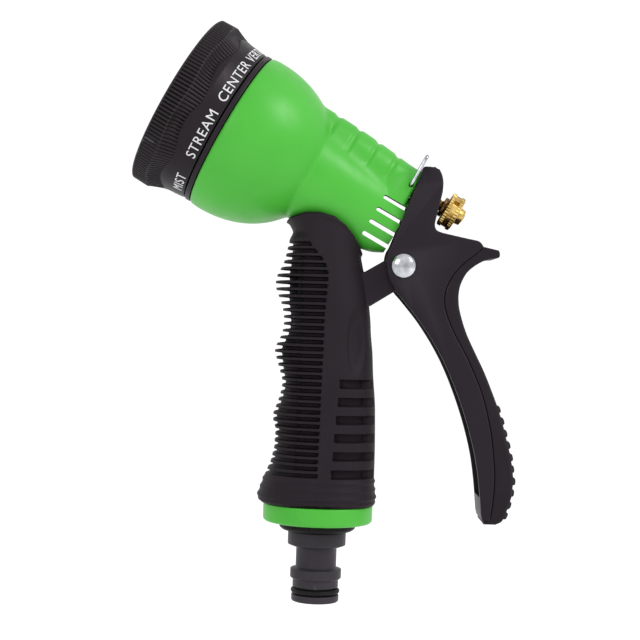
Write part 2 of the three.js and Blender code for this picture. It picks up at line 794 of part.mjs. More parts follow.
// Seal ring between the collar and the foot's recess, chamfered below.
function inletGasket() {
  return upright([
    [COLLAR_TOP + GAP, STUD_R + GAP],
    [COLLAR_TOP + GAP, GASKET_R - 1.2],
    [COLLAR_TOP + 1.3, GASKET_R],
    [FOOT_BOTTOM + 0.4, GASKET_R],
    [FOOT_BOTTOM + 0.4, STUD_R + GAP],
    [COLLAR_TOP + GAP, STUD_R + GAP],
  ]);
}

function nippleOring() {
  const geometry = new THREE.TorusGeometry(7.35, 0.8, 6, 24);
  geometry.translate(0, 0, 3.55);
  return solid(geometry);
}

function filterScreen() {
  const holes = [upright([[33, 0], [33, 0.9], [36, 0.9], [36, 0]], 8)];
  for (let i = 0; i < 6; i++) {
    const hole = new THREE.CylinderGeometry(0.9, 0.9, 4, 8);
    hole.rotateX(Math.PI / 2);
    hole.translate(3.2, 0, 34.5);
    hole.rotateZ((Math.PI / 3) * i);
    holes.push(solid(hole));
  }
  return cut(upright([[33.8, 0], [33.8, 7.7], [34.8, 7.7], [34.8, 0]], 24), ...holes);
}

// ---------------------------------------------------------------- assembly

const nozzle = new THREE.Group();
nozzle.name = "hose_spray_nozzle";

const head = new THREE.Group();
head.position.set(HEAD_ORIGIN.x, 0, HEAD_ORIGIN.z);
head.rotation.y = HEAD_TILT;
nozzle.add(head);

head.add(
  piece("selector_dial", selectorDial(), BLACK),
  piece("pattern_plate", patternPlate(), BLACK),
  piece("mist_insert", swirlInsert(3, 0.6), BLACK),
  piece("cone_insert", swirlInsert(5, 1.4), BLACK),
  piece("dial_screw", dialScrew(), STEEL),
  piece("screw_washer", ring(-18.0, -17.2, 1.9, 6.4), STEEL),
  piece("front_core", frontCore(), BLACK),
  piece("outlet_seal", outletSeal(), RUBBER),
  piece("seal_spring", spring(-10.2, -6.1, 3.9, 0.4, 3, VALVE_Z), STEEL),
  piece("detent_plunger", detentPlunger(), STEEL),
  piece("detent_spring", spring(-9.1, -5.3, 1.2, 0.3, 4, -DETENT_R), STEEL),
  piece("dial_base_ring", dialBaseRing(), BLACK),
  piece("valve_seat", valveSeat(), BRASS),
  piece("poppet_washer", ring(23.4, 25.2, STEM_R + GAP, 4.7, onValve), RUBBER),
  piece("valve_poppet", ring(25.5, 29.2, STEM_R + GAP, 4.4, onValve), BRASS),
  piece("valve_spring", spring(30.1, 50.2, 4.0, 0.5, 7, VALVE_Z), STEEL),
  piece("gland_oring", torus(52.1, 3.6, 1.3, VALVE_Z), RUBBER),
  piece("stem_gland", ring(53.7, 60.4, STEM_R + GAP, CHAMBER_R - GAP, onValve), BRASS),
  piece("valve_stem", valveStem(), BRASS),
  piece("thrust_collar", thrustCollar(), BRASS),
  piece("flow_nut", flowNut(), BRASS),
  piece("lock_clip", lockClip(), CHROME),
);

nozzle.add(
  piece("body_shell", bodyShell(), GREEN),
  piece("grip_sleeve", gripSleeve(), SOFT),
  piece("trigger_bracket", triggerBracket(), BLACK),
  piece("trigger_lever", triggerLever(), BLACK),
  piece("palm_pad", palmPad(), SOFT),
  piece("pivot_pin", pivotPin(), CHROME),
  piece("rivet_washer", rivetWasher(), CHROME),
  piece("inlet_nipple", inletNipple(), BLACK),
  piece("nipple_oring", nippleOring(), RUBBER),
  piece("inlet_gasket", inletGasket(), RUBBER),
  piece("filter_screen", filterScreen(), STEEL),
  piece("inlet_washer", uprightRing(35.1, 37, 5.2, 7.8, 24), RUBBER),
);

export default nozzle;
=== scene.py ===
"""Hose spray nozzle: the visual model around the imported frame. Lengths in the tables are millimetres."""
import json
import math

import bmesh
import bpy
import numpy as np
from mathutils import Matrix, Vector


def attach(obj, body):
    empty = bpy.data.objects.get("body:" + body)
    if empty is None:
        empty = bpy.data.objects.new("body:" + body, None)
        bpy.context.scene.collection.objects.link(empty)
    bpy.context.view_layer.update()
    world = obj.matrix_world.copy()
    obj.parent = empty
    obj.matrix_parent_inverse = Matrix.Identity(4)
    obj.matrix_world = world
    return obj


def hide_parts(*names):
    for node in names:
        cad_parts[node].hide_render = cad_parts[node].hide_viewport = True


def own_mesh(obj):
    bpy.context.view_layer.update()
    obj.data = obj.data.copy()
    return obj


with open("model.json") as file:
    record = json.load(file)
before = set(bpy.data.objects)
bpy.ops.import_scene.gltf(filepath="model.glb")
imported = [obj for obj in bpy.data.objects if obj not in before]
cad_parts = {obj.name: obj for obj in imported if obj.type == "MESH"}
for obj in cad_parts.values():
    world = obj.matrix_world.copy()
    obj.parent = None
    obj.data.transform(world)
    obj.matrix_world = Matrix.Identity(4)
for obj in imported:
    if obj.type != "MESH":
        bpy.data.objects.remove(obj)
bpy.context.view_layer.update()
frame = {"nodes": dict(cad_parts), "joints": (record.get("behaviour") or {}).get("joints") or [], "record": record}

# ------------------------------------------------------------------ places taken from the frame

MM = 0.001
FILLET_STEPS = 3
JOINT = {j["name"]: j for j in frame["joints"]}
DIAL_PIVOT_X = -15.0  # station of the dial's joint on the head axis

head_x = Vector(JOINT["selector_turn"]["axis"]).normalized()
head_z = head_x.cross(Vector((0, 1, 0)))
head_origin = Vector(JOINT["selector_turn"]["pos_m"]) - head_x * DIAL_PIVOT_X * MM
HEAD = (
    Matrix.Translation(head_origin)
    @ Matrix((head_x, (0, 1, 0), head_z)).transposed().to_4x4()
    @ Matrix.Scale(MM, 4)
)
BODY = Matrix.Scale(MM, 4)
VALVE_Z = (HEAD.inverted() @ Vector(JOINT["nut_turn"]["pos_m"])).z  # valve axis above the head axis
VALVE = HEAD @ Matrix.Translation((0, 0, VALVE_Z))
UPRIGHT = BODY @ Matrix.Rotation(-math.pi / 2, 4, "Y")  # lathe X axis turned to +Z
PIVOT = Vector(JOINT["trigger_squeeze"]["pos_m"]) / MM
CLIP = HEAD.inverted() @ Vector(JOINT["clip_swing"]["pos_m"])
CLIP_AXIS = HEAD @ Matrix.Translation(CLIP) @ Matrix.Rotation(math.pi / 2, 4, "Z")
CROSS = BODY @ Matrix.Translation(PIVOT) @ Matrix.Rotation(math.pi / 2, 4, "Z")  # lathe X to +Y


# ------------------------------------------------------------------ mesh tools

def new_object(name, mesh):
    obj = bpy.data.objects.new(name, mesh)
    bpy.context.scene.collection.objects.link(obj)
    return obj


def mesh_object(name, verts, faces, matrix=None, sharp=35):
    mesh = bpy.data.meshes.new(name)
    mesh.from_pydata([tuple(v) for v in verts], [], faces)
    if matrix is not None:
        mesh.transform(matrix)
    tidy(mesh, sharp)
    return new_object(name, mesh)


def tidy(mesh, sharp):
    """Faces outward and smooth, with edges steeper than sharp degrees kept crisp."""
    bm = bmesh.new()
    bm.from_mesh(mesh)
    bmesh.ops.recalc_face_normals(bm, faces=bm.faces)
    bm.to_mesh(mesh)
    bm.free()
    mesh.shade_smooth()
    mesh.set_sharp_from_angle(angle=math.radians(sharp))


def grid_object(name, rows, matrix=None, closed=False, sharp=35):
    """A tube of rows of points. The ends are capped, or joined to each other if closed."""
    rows = np.asarray(rows, float)
    count, around = rows.shape[:2]
    verts = list(rows.reshape(-1, 3))
    faces = []
    last = count if closed else count - 1
    for i in range(last):
        a = i * around
        b = ((i + 1) % count) * around
        for k in range(around):
            n = (k + 1) % around
            faces.append((a + k, a + n, b + n, b + k))
    if not closed:
        faces.append(tuple(range(around)))
        faces.append(tuple(reversed(range((count - 1) * around, count * around))))
    return mesh_object(name, verts, faces, matrix, sharp)


def fillet(points, radius):
    """The outline with its inner corners rounded off by short arcs."""
    out = [points[0]]
    for before, corner, after in zip(points, points[1:], points[2:]):
        a, c, b = (np.array(p, float) for p in (before, corner, after))
        reach_a = min(radius, np.linalg.norm(a - c) * 0.45)
        reach_b = min(radius, np.linalg.norm(b - c) * 0.45)
        start = c + (a - c) / np.linalg.norm(a - c) * reach_a
        end = c + (b - c) / np.linalg.norm(b - c) * reach_b
        for i in range(FILLET_STEPS + 1):
            t = i / FILLET_STEPS
            out.append(tuple((1 - t) ** 2 * start + 2 * t * (1 - t) * c + t * t * end))
    out.append(points[-1])
    return out


def lathe(name, profile, matrix, segments=96, radius=0.25, closed=False):
    """A turned piece about X. The profile is [(x, radius)], its corners rounded by radius."""
    line = fillet(profile, radius) if radius else profile
    angle = np.linspace(0, 2 * math.pi, segments, endpoint=False)
    rows = [
        np.stack([np.full(segments, x), -r * np.cos(angle), r * np.sin(angle)], 1)
        for x, r in ((x, max(r, 1e-3)) for x, r in line)
    ]
    return grid_object(name, rows, matrix, closed)


def ring(name, x0, x1, inner, outer, matrix, segments=96, radius=0.2):
    """A closed ring about X with rounded edges."""
    middle = (inner + outer) / 2
    profile = [(x0, middle), (x0, outer), (x1, outer), (x1, inner), (x0, inner), (x0, middle)]
    line = fillet(profile, radius)[:-1]
    return lathe(name, line, matrix, segments, 0, closed=True)


def smooth_line(points, per_span=8):
    """Catmull-Rom curve through the points, as a polyline."""
    p = [np.array(q, float) for q in points]
    p = [2 * p[0] - p[1], *p, 2 * p[-1] - p[-2]]
    out = []
    for a, b, c, d in zip(p, p[1:], p[2:], p[3:]):
        for i in range(per_span):
            t = i / per_span
            out.append(
                0.5 * (2 * b + (c - a) * t + (2 * a - 5 * b + 4 * c - d) * t**2 + (3 * b - a - 3 * c + d) * t**3)
            )
    out.append(p[-2])
    return np.array(out)


def table(points):
    """A smooth function from a table of (key, value) pairs."""
    line = smooth_line(points)
    return lambda key: np.interp(key, line[:, 0], line[:, 1])


def smooth_step(low, high, value):
    t = np.clip((value - low) / (high - low), 0, 1)
    return t * t * (3 - 2 * t)


def baked(obj, *modifiers):
    """Applies the object's modifiers, and any given as (type, settings)."""
    for kind, settings in modifiers:
        modifier = obj.modifiers.new(kind.lower(), kind)
        for key, value in settings.items():
            setattr(modifier, key, value)
    graph = bpy.context.evaluated_depsgraph_get()
    mesh = bpy.data.meshes.new_from_object(obj.evaluated_get(graph))
    obj.modifiers.clear()
    old = obj.data
    obj.data = mesh
    bpy.data.meshes.remove(old)
    return obj


def carve(obj, cutters, operation="DIFFERENCE", sharp=35):
    """A boolean with each cutter, which is then removed."""
    for cutter in cutters:
        baked(obj, ("BOOLEAN", {"object": cutter, "operation": operation, "solver": "EXACT"}))
        bpy.data.objects.remove(cutter)
    obj.data.shade_smooth()
    obj.data.set_sharp_from_angle(angle=math.radians(sharp))
    return obj


def slab(name, points, y0, y1, matrix=BODY):
    """An XZ outline extruded across the width."""
    n = len(points)
    verts = [(x, y0, z) for x, z in points] + [(x, y1, z) for x, z in points]
    faces = [(i, (i + 1) % n, n + (i + 1) % n, n + i) for i in range(n)]
    faces += [tuple(range(n)), tuple(range(2 * n - 1, n - 1, -1))]
    return mesh_object(name, verts, faces, matrix)


def rounded_slab(name, points, half_width, radius, tight=()):
    """An XZ outline extruded across the width, its two rims rounded by radius, or by less where it is thin."""
    line = np.array(points, float)
    ahead = np.roll(line, -1, 0) - line
    behind = line - np.roll(line, 1, 0)
    along = ahead / np.linalg.norm(ahead, axis=1)[:, None] + behind / np.linalg.norm(behind, axis=1)[:, None]
    along /= np.linalg.norm(along, axis=1)[:, None]
    inward = np.stack([-along[:, 1], along[:, 0]], 1)
    area = np.sum(line[:, 0] * np.roll(line[:, 1], -1) - np.roll(line[:, 0], -1) * line[:, 1])
    if area < 0:
        inward = -inward
    apart = line[None, :, :] - line[:, None, :]
    facing = np.einsum("ijk,ik->ij", apart, inward)
    width = np.where(facing > 0.6 * np.linalg.norm(apart, axis=2) + 1e-9, facing, 99).min(1)
    reach = np.minimum(radius, 0.3 * width)
    for p in tight:  # places that keep a crisp rim
        reach[np.linalg.norm(line - p, axis=1) < 0.01] = 0.2
    for _ in range(6):
        reach = np.minimum(reach, (np.roll(reach, 1) + reach + np.roll(reach, -1)) / 3)
    rows = []
    for side in (-1, 1):
        for a in np.linspace(0, math.pi / 2, 5)[::side]:
            inset = line + inward * (reach * (1 - math.cos(a)))[:, None]
            y = side * (half_width - reach + reach * math.sin(a))
            rows.append(np.stack([inset[:, 0], y, inset[:, 1]], 1))
    return grid_object(name, rows, BODY, sharp=40)


def box_object(name, low, high, matrix):
    (x0, y0, z0), (x1, y1, z1) = low, high
    return slab(name, [(x0, z0), (x1, z0), (x1, z1), (x0, z1)], y0, y1, matrix)


def tube(name, points, radius, matrix, sides=16):
    """A round wire along points, with closed ends."""
    line = np.array(points, float)
    tangent = np.gradient(line, axis=0)
    tangent /= np.linalg.norm(tangent, axis=1)[:, None]
    normal = np.cross(tangent[0], (0.3, 0.5, 0.8))
    rows = []
    angle = np.linspace(0, 2 * math.pi, sides, endpoint=False)
    for p, t in zip(line, tangent):
        normal = normal - t * np.dot(normal, t)
        normal /= np.linalg.norm(normal)
        other = np.cross(t, normal)
        rows.append(p + radius * (np.outer(np.cos(angle), normal) + np.outer(np.sin(angle), other)))
    return grid_object(name, rows, matrix)


# ------------------------------------------------------------------ materials

def shader_tree(name, roughness, metallic=0.0, specular=0.5, tint=(1, 1, 1)):
    material = bpy.data.materials.new(name)
    material.use_nodes = True
    tree = material.node_tree
    shader = tree.nodes["Principled BSDF"]
    shader.inputs["Roughness"].default_value = roughness
    shader.inputs["Metallic"].default_value = metallic
    shader.inputs["Specular IOR Level"].default_value = specular
    shader.inputs["Specular Tint"].default_value = (*tint, 1)
    return material, tree, shader


def node(tree, kind, inputs=None, **settings):
    made = tree.nodes.new(kind)
    for key, value in settings.items():
        setattr(made, key, value)
    for key, value in (inputs or {}).items():
        made.inputs[key].default_value = value
    return made


def noise(tree, coords, scale, detail=3.0, roughness=0.5, stretch=None):
    source = coords.outputs["Object"]
    if stretch:
        mapping = node(tree, "ShaderNodeMapping", {"Scale": stretch})
        tree.links.new(source, mapping.inputs["Vector"])
        source = mapping.outputs["Vector"]
    made = node(tree, "ShaderNodeTexNoise", {"Scale": scale, "Detail": detail, "Roughness": roughness})
    tree.links.new(source, made.inputs["Vector"])
    return made.outputs["Fac"]


def ramp(tree, source, stops):
    made = node(tree, "ShaderNodeValToRGB")
    elements = made.color_ramp.elements
    while len(elements) < len(stops):
        elements.new(0.5)
    for element, (place, colour) in zip(elements, stops):
        element.position = place
        element.color = (*colour, 1)
    tree.links.new(source, made.inputs["Fac"])
    return made.outputs["Color"]


def spread(tree, source, low, high):
    made = node(tree, "ShaderNodeMapRange", {"From Min": 0.3, "From Max": 0.7, "To Min": low, "To Max": high})
    tree.links.new(source, made.inputs["Value"])
    return made.outputs["Result"]


def mixed(tree, factor, first, second):
    made = node(tree, "ShaderNodeMix", data_type="RGBA")
    tree.links.new(factor, made.inputs["Factor"])
    for socket, value in ((made.inputs["A"], first), (made.inputs["B"], second)):
        if isinstance(value, tuple):
            socket.default_value = (*value, 1)
        else:
            tree.links.new(value, socket)
    return made.outputs["Result"]


def bump(tree, shader, height, strength, distance):
    made = node(tree, "ShaderNodeBump", {"Strength": strength, "Distance": distance})
    tree.links.new(height, made.inputs["Height"])
    tree.links.new(made.outputs["Normal"], shader.inputs["Normal"])


def edge_mask(tree):
    """Where the surface is convex, for worn edges."""
    geometry = node(tree, "ShaderNodeNewGeometry")
    made = node(tree, "ShaderNodeMapRange", {"From Min": 0.52, "From Max": 0.62})
    tree.links.new(geometry.outputs["Pointiness"], made.inputs["Value"])
    return made.outputs["Result"]


def painted_crevice_shade(tree, distance):
    """Ambient occlusion as a mask for painted shade: 0 deep in a groove, 1 on open surfaces."""
    shade = node(tree, "ShaderNodeAmbientOcclusion", {"Distance": distance}, samples=6)
    made = node(tree, "ShaderNodeMapRange", {"From Min": 0.42, "From Max": 0.82})
    tree.links.new(shade.outputs["AO"], made.inputs["Value"])
    return made.outputs["Result"]


def moulded(name, dark, light, roughness, grain=2600, grain_depth=0.00003, wear=None, groove=None, **finish):
    """Moulded plastic or rubber: slow colour drift, fine grain, faint scuffs, rubbed edges and painted shade
    darkening the grooves.
    """
    material, tree, shader = shader_tree(name, roughness, **finish)
    coords = node(tree, "ShaderNodeTexCoord")
    drift = noise(tree, coords, 42, 4)
    base = ramp(tree, drift, [(0.3, dark), (0.7, light)])
    if wear:
        base = mixed(tree, edge_mask(tree), base, wear)
    if groove:
        # painted shade: the base colour goes nearly black where ambient occlusion finds a groove
        mask = painted_crevice_shade(tree, groove)
        base = mixed(tree, mask, tuple(0.12 * c for c in dark), base)
    tree.links.new(base, shader.inputs["Base Color"])
    scuffs = noise(tree, coords, 210, 6, 0.65, (1, 1, 0.35))
    tree.links.new(spread(tree, scuffs, roughness - 0.06, roughness + 0.09), shader.inputs["Roughness"])
    bump(tree, shader, noise(tree, coords, grain, 2), 0.5, grain_depth)
    return material


def metal(name, dark, light, roughness, depth=0.00001):
    """Bare or plated metal: a mottled colour (tarnish, and on chrome a painted reflection), tool marks in the
    roughness and bump.
    """
    material, tree, shader = shader_tree(name, roughness, metallic=1.0)
    coords = node(tree, "ShaderNodeTexCoord")
    # noise mottles the colour between dark and light: tarnish, and on chrome a painted reflection
    tarnish_and_reflection = noise(tree, coords, 260, 5)
    tree.links.new(ramp(tree, tarnish_and_reflection, [(0.35, dark), (0.65, light)]), shader.inputs["Base Color"])
    marks = noise(tree, coords, 900, 4, 0.6)
    tree.links.new(spread(tree, marks, roughness * 0.7, roughness * 1.5), shader.inputs["Roughness"])
    bump(tree, shader, marks, 0.4, depth)
    return material


GREEN = moulded("green_plastic", (0.044, 0.325, 0.024), (0.054, 0.36, 0.031), 0.38, specular=0.28)
BLACK = moulded("black_plastic", (0.0085, 0.0062, 0.0086), (0.011, 0.0083, 0.0112), 0.42, specular=0.16,
                tint=(1, 0.88, 1), wear=(0.03, 0.027, 0.03))
# groove: reach of the painted shade that darkens the dial's ridge grooves
DIAL_BLACK = moulded("dial_black", (0.006, 0.0045, 0.0055), (0.009, 0.007, 0.0085), 0.4, specular=0.17,
                     tint=(1, 0.9, 0.98), wear=(0.045, 0.042, 0.045), groove=0.0007)
# groove: reach of the painted shade that darkens the grip's rib grooves and slots
SOFT = moulded("soft_grip", (0.0085, 0.0062, 0.0082), (0.0115, 0.0086, 0.011), 0.6, grain=1500, grain_depth=0.00006,
               specular=0.15, tint=(1, 0.88, 0.98), wear=(0.022, 0.019, 0.022), groove=0.0018)
INLET_BLACK = moulded("inlet_plastic", (0.018, 0.0155, 0.0195), (0.026, 0.023, 0.028), 0.45, specular=0.2,
                      tint=(1, 0.92, 1), wear=(0.05, 0.047, 0.05))
RUBBER = moulded("seal_rubber", (0.004, 0.004, 0.004), (0.006, 0.006, 0.006), 0.5, specular=0.12)
PRINT = moulded("legend_print", (0.5, 0.5, 0.52), (0.6, 0.6, 0.62), 0.45, specular=0.2)
BRASS = metal("brass", (0.26, 0.16, 0.035), (0.7, 0.5, 0.17), 0.27)
DARK_BRASS = metal("dark_brass", (0.08, 0.045, 0.02), (0.22, 0.13, 0.05), 0.35)
# chrome: colour darkened and mottled as a painted reflection of darker surroundings
CHROME = metal("chrome", (0.3, 0.31, 0.34), (0.56, 0.57, 0.6), 0.14, depth=0.000003)
STEEL = metal("steel", (0.3, 0.31, 0.33), (0.5, 0.51, 0.53), 0.3)

SLOT_LOOK = {
    "green_plastic": GREEN,
    "black_plastic": BLACK,
    "soft_grip": SOFT,
    "seal_rubber": RUBBER,
    "brass": BRASS,
    "chrome": CHROME,
    "steel": STEEL,
}


def finish_piece(obj, material, body, slot, *replaced):
    obj.data.materials.clear()
    obj.data.materials.append(material)
    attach(obj, body)
    if replaced:
        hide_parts(*replaced)
    return obj


for sub in frame["record"]["subparts"]:
    cad = frame["nodes"][sub["node"]]
    cad.data.materials.clear()
    cad.data.materials.append(SLOT_LOOK[sub["material_slot"]])


# ------------------------------------------------------------------ camera, floor and light

PHOTO_WIDTH = 213.3  # mm across the picture at the nozzle's middle plane
CAMERA_DISTANCE = 500.0
CAMERA_ROLL = math.radians(2.0)
AIM = (-1.46, 93.44)  # frame X, Z in the middle of the picture


def add_camera():
    data = bpy.data.cameras.new("camera")
    data.sensor_width = 36
    data.lens = 36 * CAMERA_DISTANCE / PHOTO_WIDTH
    data.clip_end = 20
    camera = new_object("camera", data)
    c, s = math.cos(CAMERA_ROLL), math.sin(CAMERA_ROLL)
    turn = Matrix(((c, -s, 0), (0, 0, -1), (s, c, 0)))
    place = Vector((AIM[0], -CAMERA_DISTANCE, AIM[1])) * MM
    camera.matrix_world = Matrix.Translation(place) @ turn.to_4x4()
    bpy.context.scene.camera = camera


def add_area(name, place, aim, size, power):
    data = bpy.data.lights.new(name, "AREA")
    data.shape = "RECTANGLE"
    data.size, data.size_y = size
    data.energy = power
    light = new_object(name, data)
    light.location = place
    light.rotation_euler = (Vector(aim) - Vector(place)).to_track_quat("-Z", "Y").to_euler()


def add_stage():
    floor_z = -0.04
    verts = [(-3, -3, floor_z), (3, -3, floor_z), (3, 3, floor_z), (-3, 3, floor_z)]
    floor = mesh_object("floor", verts, [(0, 1, 2, 3)])
    pale, tree, shader = shader_tree("floor_paper", 0.9)
    coords = node(tree, "ShaderNodeTexCoord")
    tone = ramp(tree, noise(tree, coords, 5), [(0.3, (0.95, 0.95, 0.95)), (0.7, (0.965, 0.965, 0.965))])
    tree.links.new(tone, shader.inputs["Base Color"])
    floor.data.materials.append(pale)
    world = bpy.data.worlds.new("studio")
    world.use_nodes = True
    world.node_tree.nodes["Background"].inputs["Color"].default_value = (1, 1, 1, 1)
    world.node_tree.nodes["Background"].inputs["Strength"].default_value = 1.06
    bpy.context.scene.world = world
    bpy.context.scene.view_settings.view_transform = "Standard"


add_camera()
add_stage()
MIDDLE = (0, 0, 0.1)
add_area("key", (0.75, -0.5, 0.75), MIDDLE, (0.45, 0.45), 6.0)
add_area("front", (-0.5, -0.9, 0.5), MIDDLE, (0.4, 0.4), 1.6)


# ------------------------------------------------------------------ dial

RIM_R = 29.9
WAIST_R = 30.1
BAND_R = 27.9
BAND_REAR_R = 27.05
WAIST_X = -13.9
BAND_X = -9.75
DIAL_REAR_X = -1.45
DIAL_FRONT_X = -19.9
RIDGES = 144
LOBES = 8
VALLEY_TURN = math.radians(-17)  # a scallop sits at the middle of each word


def dial_radius(x, valley):
    """Outer radius of the dial's grip at station x. valley is 1 between the lobes and 0 on them."""
    waist = WAIST_X - 0.7 * valley
    foot = BAND_X + 1.5 - 2.1 * valley
    front = np.interp(x, [DIAL_FRONT_X, DIAL_FRONT_X + 0.5, WAIST_X], [RIM_R - 0.35, RIM_R, WAIST_R])
    t = np.clip((x - waist) / (foot - waist), 0, 1)
    rear = WAIST_R - (WAIST_R - BAND_R) * t - 0.95 * valley * np.sin(math.pi * t) ** 0.8
    return np.where(x < waist, front, rear)


def selector_dial():
    around = RIDGES * 4
    angle = np.linspace(0, 2 * math.pi, around, endpoint=False)
    valley = (1 + np.cos(LOBES * (angle - VALLEY_TURN))) / 2
    ridge = np.tile([0.0, 0.8, 1.0, 0.8], RIDGES)

    def row(x, radius):
        return np.stack([np.full(around, x), -radius * np.cos(angle), radius * np.sin(angle)], 1)

    rows = [row(DIAL_FRONT_X + 0.25, np.full(around, RIM_R - 1.9)), row(DIAL_FRONT_X, np.full(around, RIM_R - 1.3))]
    rows.append(row(DIAL_FRONT_X, np.full(around, RIM_R - 0.55)))
    for x in np.arange(DIAL_FRONT_X + 0.25, BAND_X + 1.6, 0.25):
        radius = dial_radius(x, valley)
        end = BAND_X + 1.4 - 2.0 * valley
        depth = 0.5 * smooth_step(DIAL_FRONT_X + 0.3, DIAL_FRONT_X + 0.9, x) * smooth_step(0, 0.5, end - x)
        crease = WAIST_X - 0.7 * valley
        depth = depth * (0.5 + 0.5 * smooth_step(0.05, 0.4, abs(x - crease)))
        rows.append(row(x, radius - depth * (1 - ridge)))
    flat = np.ones(around)
    rows.append(row(BAND_X + 1.8, (BAND_R - 0.2) * flat))
    rows.append(row(DIAL_REAR_X - 0.35, BAND_REAR_R * flat))
    rows.append(row(DIAL_REAR_X - 0.1, (BAND_REAR_R - 0.12) * flat))
    rows.append(row(DIAL_REAR_X, (BAND_REAR_R - 0.4) * flat))
    for x, r in [(DIAL_REAR_X, 24.3), (-13.1, 24.3), (-13.1, 21.5), (-15.6, 21.5), (-15.6, 25.9), (-18.9, 26.2)]:
        rows.append(row(x, r * flat))
    dial = grid_object("dial_grip", rows, HEAD, closed=True, sharp=50)
    return finish_piece(dial, DIAL_BLACK, "dial", "black_plastic", "selector_dial")


WORDS = ["MIST", "STREAM", "CENTER", "VERTICAL", "SHOWER", "CONE", "FLAT", "SOAKER"]
FIRST_WORD = -62.0  # degrees round the dial from the camera's side
LETTER_HEIGHT = 3.2
LETTER_STRETCH = 0.98
LETTER_TOP_X = -5.5


def legend(word, centre):
    """A spray pattern's name printed on the band, reading up the dial with its tops forward."""
    curve = bpy.data.curves.new(word, "FONT")
    curve.body = word
    curve.size = 1
    curve.extrude = 0.02
    curve.space_character = 1.12
    text = new_object("legend_" + word.lower(), curve)
    bpy.context.view_layer.update()
    mesh = bpy.data.meshes.new_from_object(text.evaluated_get(bpy.context.evaluated_depsgraph_get()))
    bpy.data.objects.remove(text)
    bpy.data.curves.remove(curve)
    points = np.array([v.co for v in mesh.vertices])
    low, high = points.min(0), points.max(0)
    scale = LETTER_HEIGHT / (high[1] - low[1])
    width = (high[0] - low[0]) * scale * LETTER_STRETCH
    for vertex, (u, v, w) in zip(mesh.vertices, points):
        across = (u - low[0]) / (high[0] - low[0]) * width - width / 2
        x = LETTER_TOP_X + (high[1] - v) * scale
        surface = np.interp(x, [BAND_X, DIAL_REAR_X], [BAND_R, BAND_REAR_R])
        radius = surface + (0.07 if w > 0 else -0.1)
        angle = math.radians(centre) + across / surface
        vertex.co = (x, -radius * math.cos(angle), radius * math.sin(angle))
    mesh.transform(HEAD)
    tidy(mesh, 30)
    obj = new_object("legend_" + word.lower(), mesh)
    return finish_piece(obj, PRINT, "dial", "black_plastic")


def window_place(index):
    angle = math.tau * index / LOBES
    return -VALVE_Z * math.sin(angle), VALVE_Z * math.cos(angle), angle


def drill(x0, x1, y, z, radius, segments=24):
    place = HEAD @ Matrix.Translation((0, y, z))
    return lathe("drill", [(x0, 0), (x0, radius), (x1, radius), (x1, 0)], place, segments, 0)


def pattern_plate():
    """The spray face: a dished disc with a ring of eight windows, each in its own shallow well."""
    profile = [(-16.9, 4.3), (-16.9, 6.9), (-18.2, 7.4), (-18.7, 8.2), (-18.4, 9.3), (-18.4, 19.9), (-18.9, 20.6),
               (-18.9, 22.6), (-18.4, 23.2), (-18.4, 25.5), (-15.9, 25.5), (-15.9, 4.3), (-16.9, 4.3)]
    line = fillet(profile, 0.3)[:-1]
    face = lathe("spray_face", line, HEAD, 128, 0, closed=True)
    cutters = []
    for index in range(LOBES):
        y, z, angle = window_place(index)
        cutters.append(drill(-20, -17.9, y, z, 4.3, 40))
        if index in (0, 6):
            size = (1.0, 5.8) if index == 0 else (5.8, 1.0)
            turn = HEAD @ Matrix.Translation((0, y, z)) @ Matrix.Rotation(angle, 4, "X")
            half = (size[1] / 2, size[0] / 2)
            cutters.append(box_object("slit", (-20, -half[0], -half[1]), (-14, half[0], half[1]), turn))
        for count, radius, hole in WINDOW_HOLES[index]:
            for k in range(count):
                a = math.tau * k / count
                cutters.append(drill(-20, -14, y + radius * math.cos(a), z + radius * math.sin(a), hole, 16))
    carve(face, cutters)
    return finish_piece(face, BLACK, "dial", "black_plastic", "pattern_plate")


WINDOW_HOLES = [
    [],
    [(6, 2.6, 0.4), (1, 0, 1.1)],
    [(1, 0, 1.7)],
    [(1, 0, 2.9)],
    [(12, 3.0, 0.32), (7, 1.7, 0.32), (1, 0, 0.32)],
    [(1, 0, 2.9)],
    [],
    [(5, 1.9, 0.75)],
]


def swirl_insert(name, index, hole):
    """A swirl plug: a cone round its outlet, with three spiral flutes."""
    y, z, _ = window_place(index)
    place = HEAD @ Matrix.Translation((0, y, z))
    profile = [(-17.9, hole), (-18.1, hole + 0.3), (-17.3, 1.9), (-17.3, 2.6), (-16.1, 2.6), (-16.1, hole),
               (-17.9, hole)]
    plug = lathe(name + "_look", fillet(profile, 0.12)[:-1], place, 48, 0, closed=True)
    flutes = []
    for k in range(3):
        turn = place @ Matrix.Rotation(math.tau * k / 3, 4, "X")
        flutes.append(box_object("flute", (-18.4, 0.5, 0.75), (-17.0, 3.2, 1.15), turn))
    carve(plug, flutes)
    return finish_piece(plug, BLACK, "dial", "black_plastic", name)


def dial_screw():
    profile = [(-19.5, 0), (-19.45, 1.6), (-19.1, 2.8), (-18.5, 3.5), (-18.3, 3.6), (-18.3, 1.4), (-5.5, 1.4),
               (-5.5, 0)]
    screw = lathe("dial_screw_look", profile, HEAD, 64, 0.12)
    cross = [box_object("cross", (-20, -0.42, -2.1), (-18.8, 0.42, 2.1), HEAD),
             box_object("cross", (-20, -2.1, -0.42), (-18.8, 2.1, 0.42), HEAD)]
    carve(screw, cross)
    finish_piece(screw, STEEL, "body", "steel", "dial_screw")
    washer = ring("screw_washer_look", -18.0, -17.2, 1.9, 6.4, HEAD, 96, 0.15)
    finish_piece(washer, STEEL, "body", "steel", "screw_washer")


selector_dial()
for number, word in enumerate(WORDS):
    legend(word, FIRST_WORD + number * 360 / LOBES)
pattern_plate()
swirl_insert("mist_insert", 3, 0.6)
swirl_insert("cone_insert", 5, 1.3)
dial_screw()
lip = ring("dial_lip", -1.05, 0.65, 24.0, 27.3, HEAD, 160, 0.4)
finish_piece(lip, BLACK, "body", "black_plastic", "dial_base_ring")


# ------------------------------------------------------------------ green head

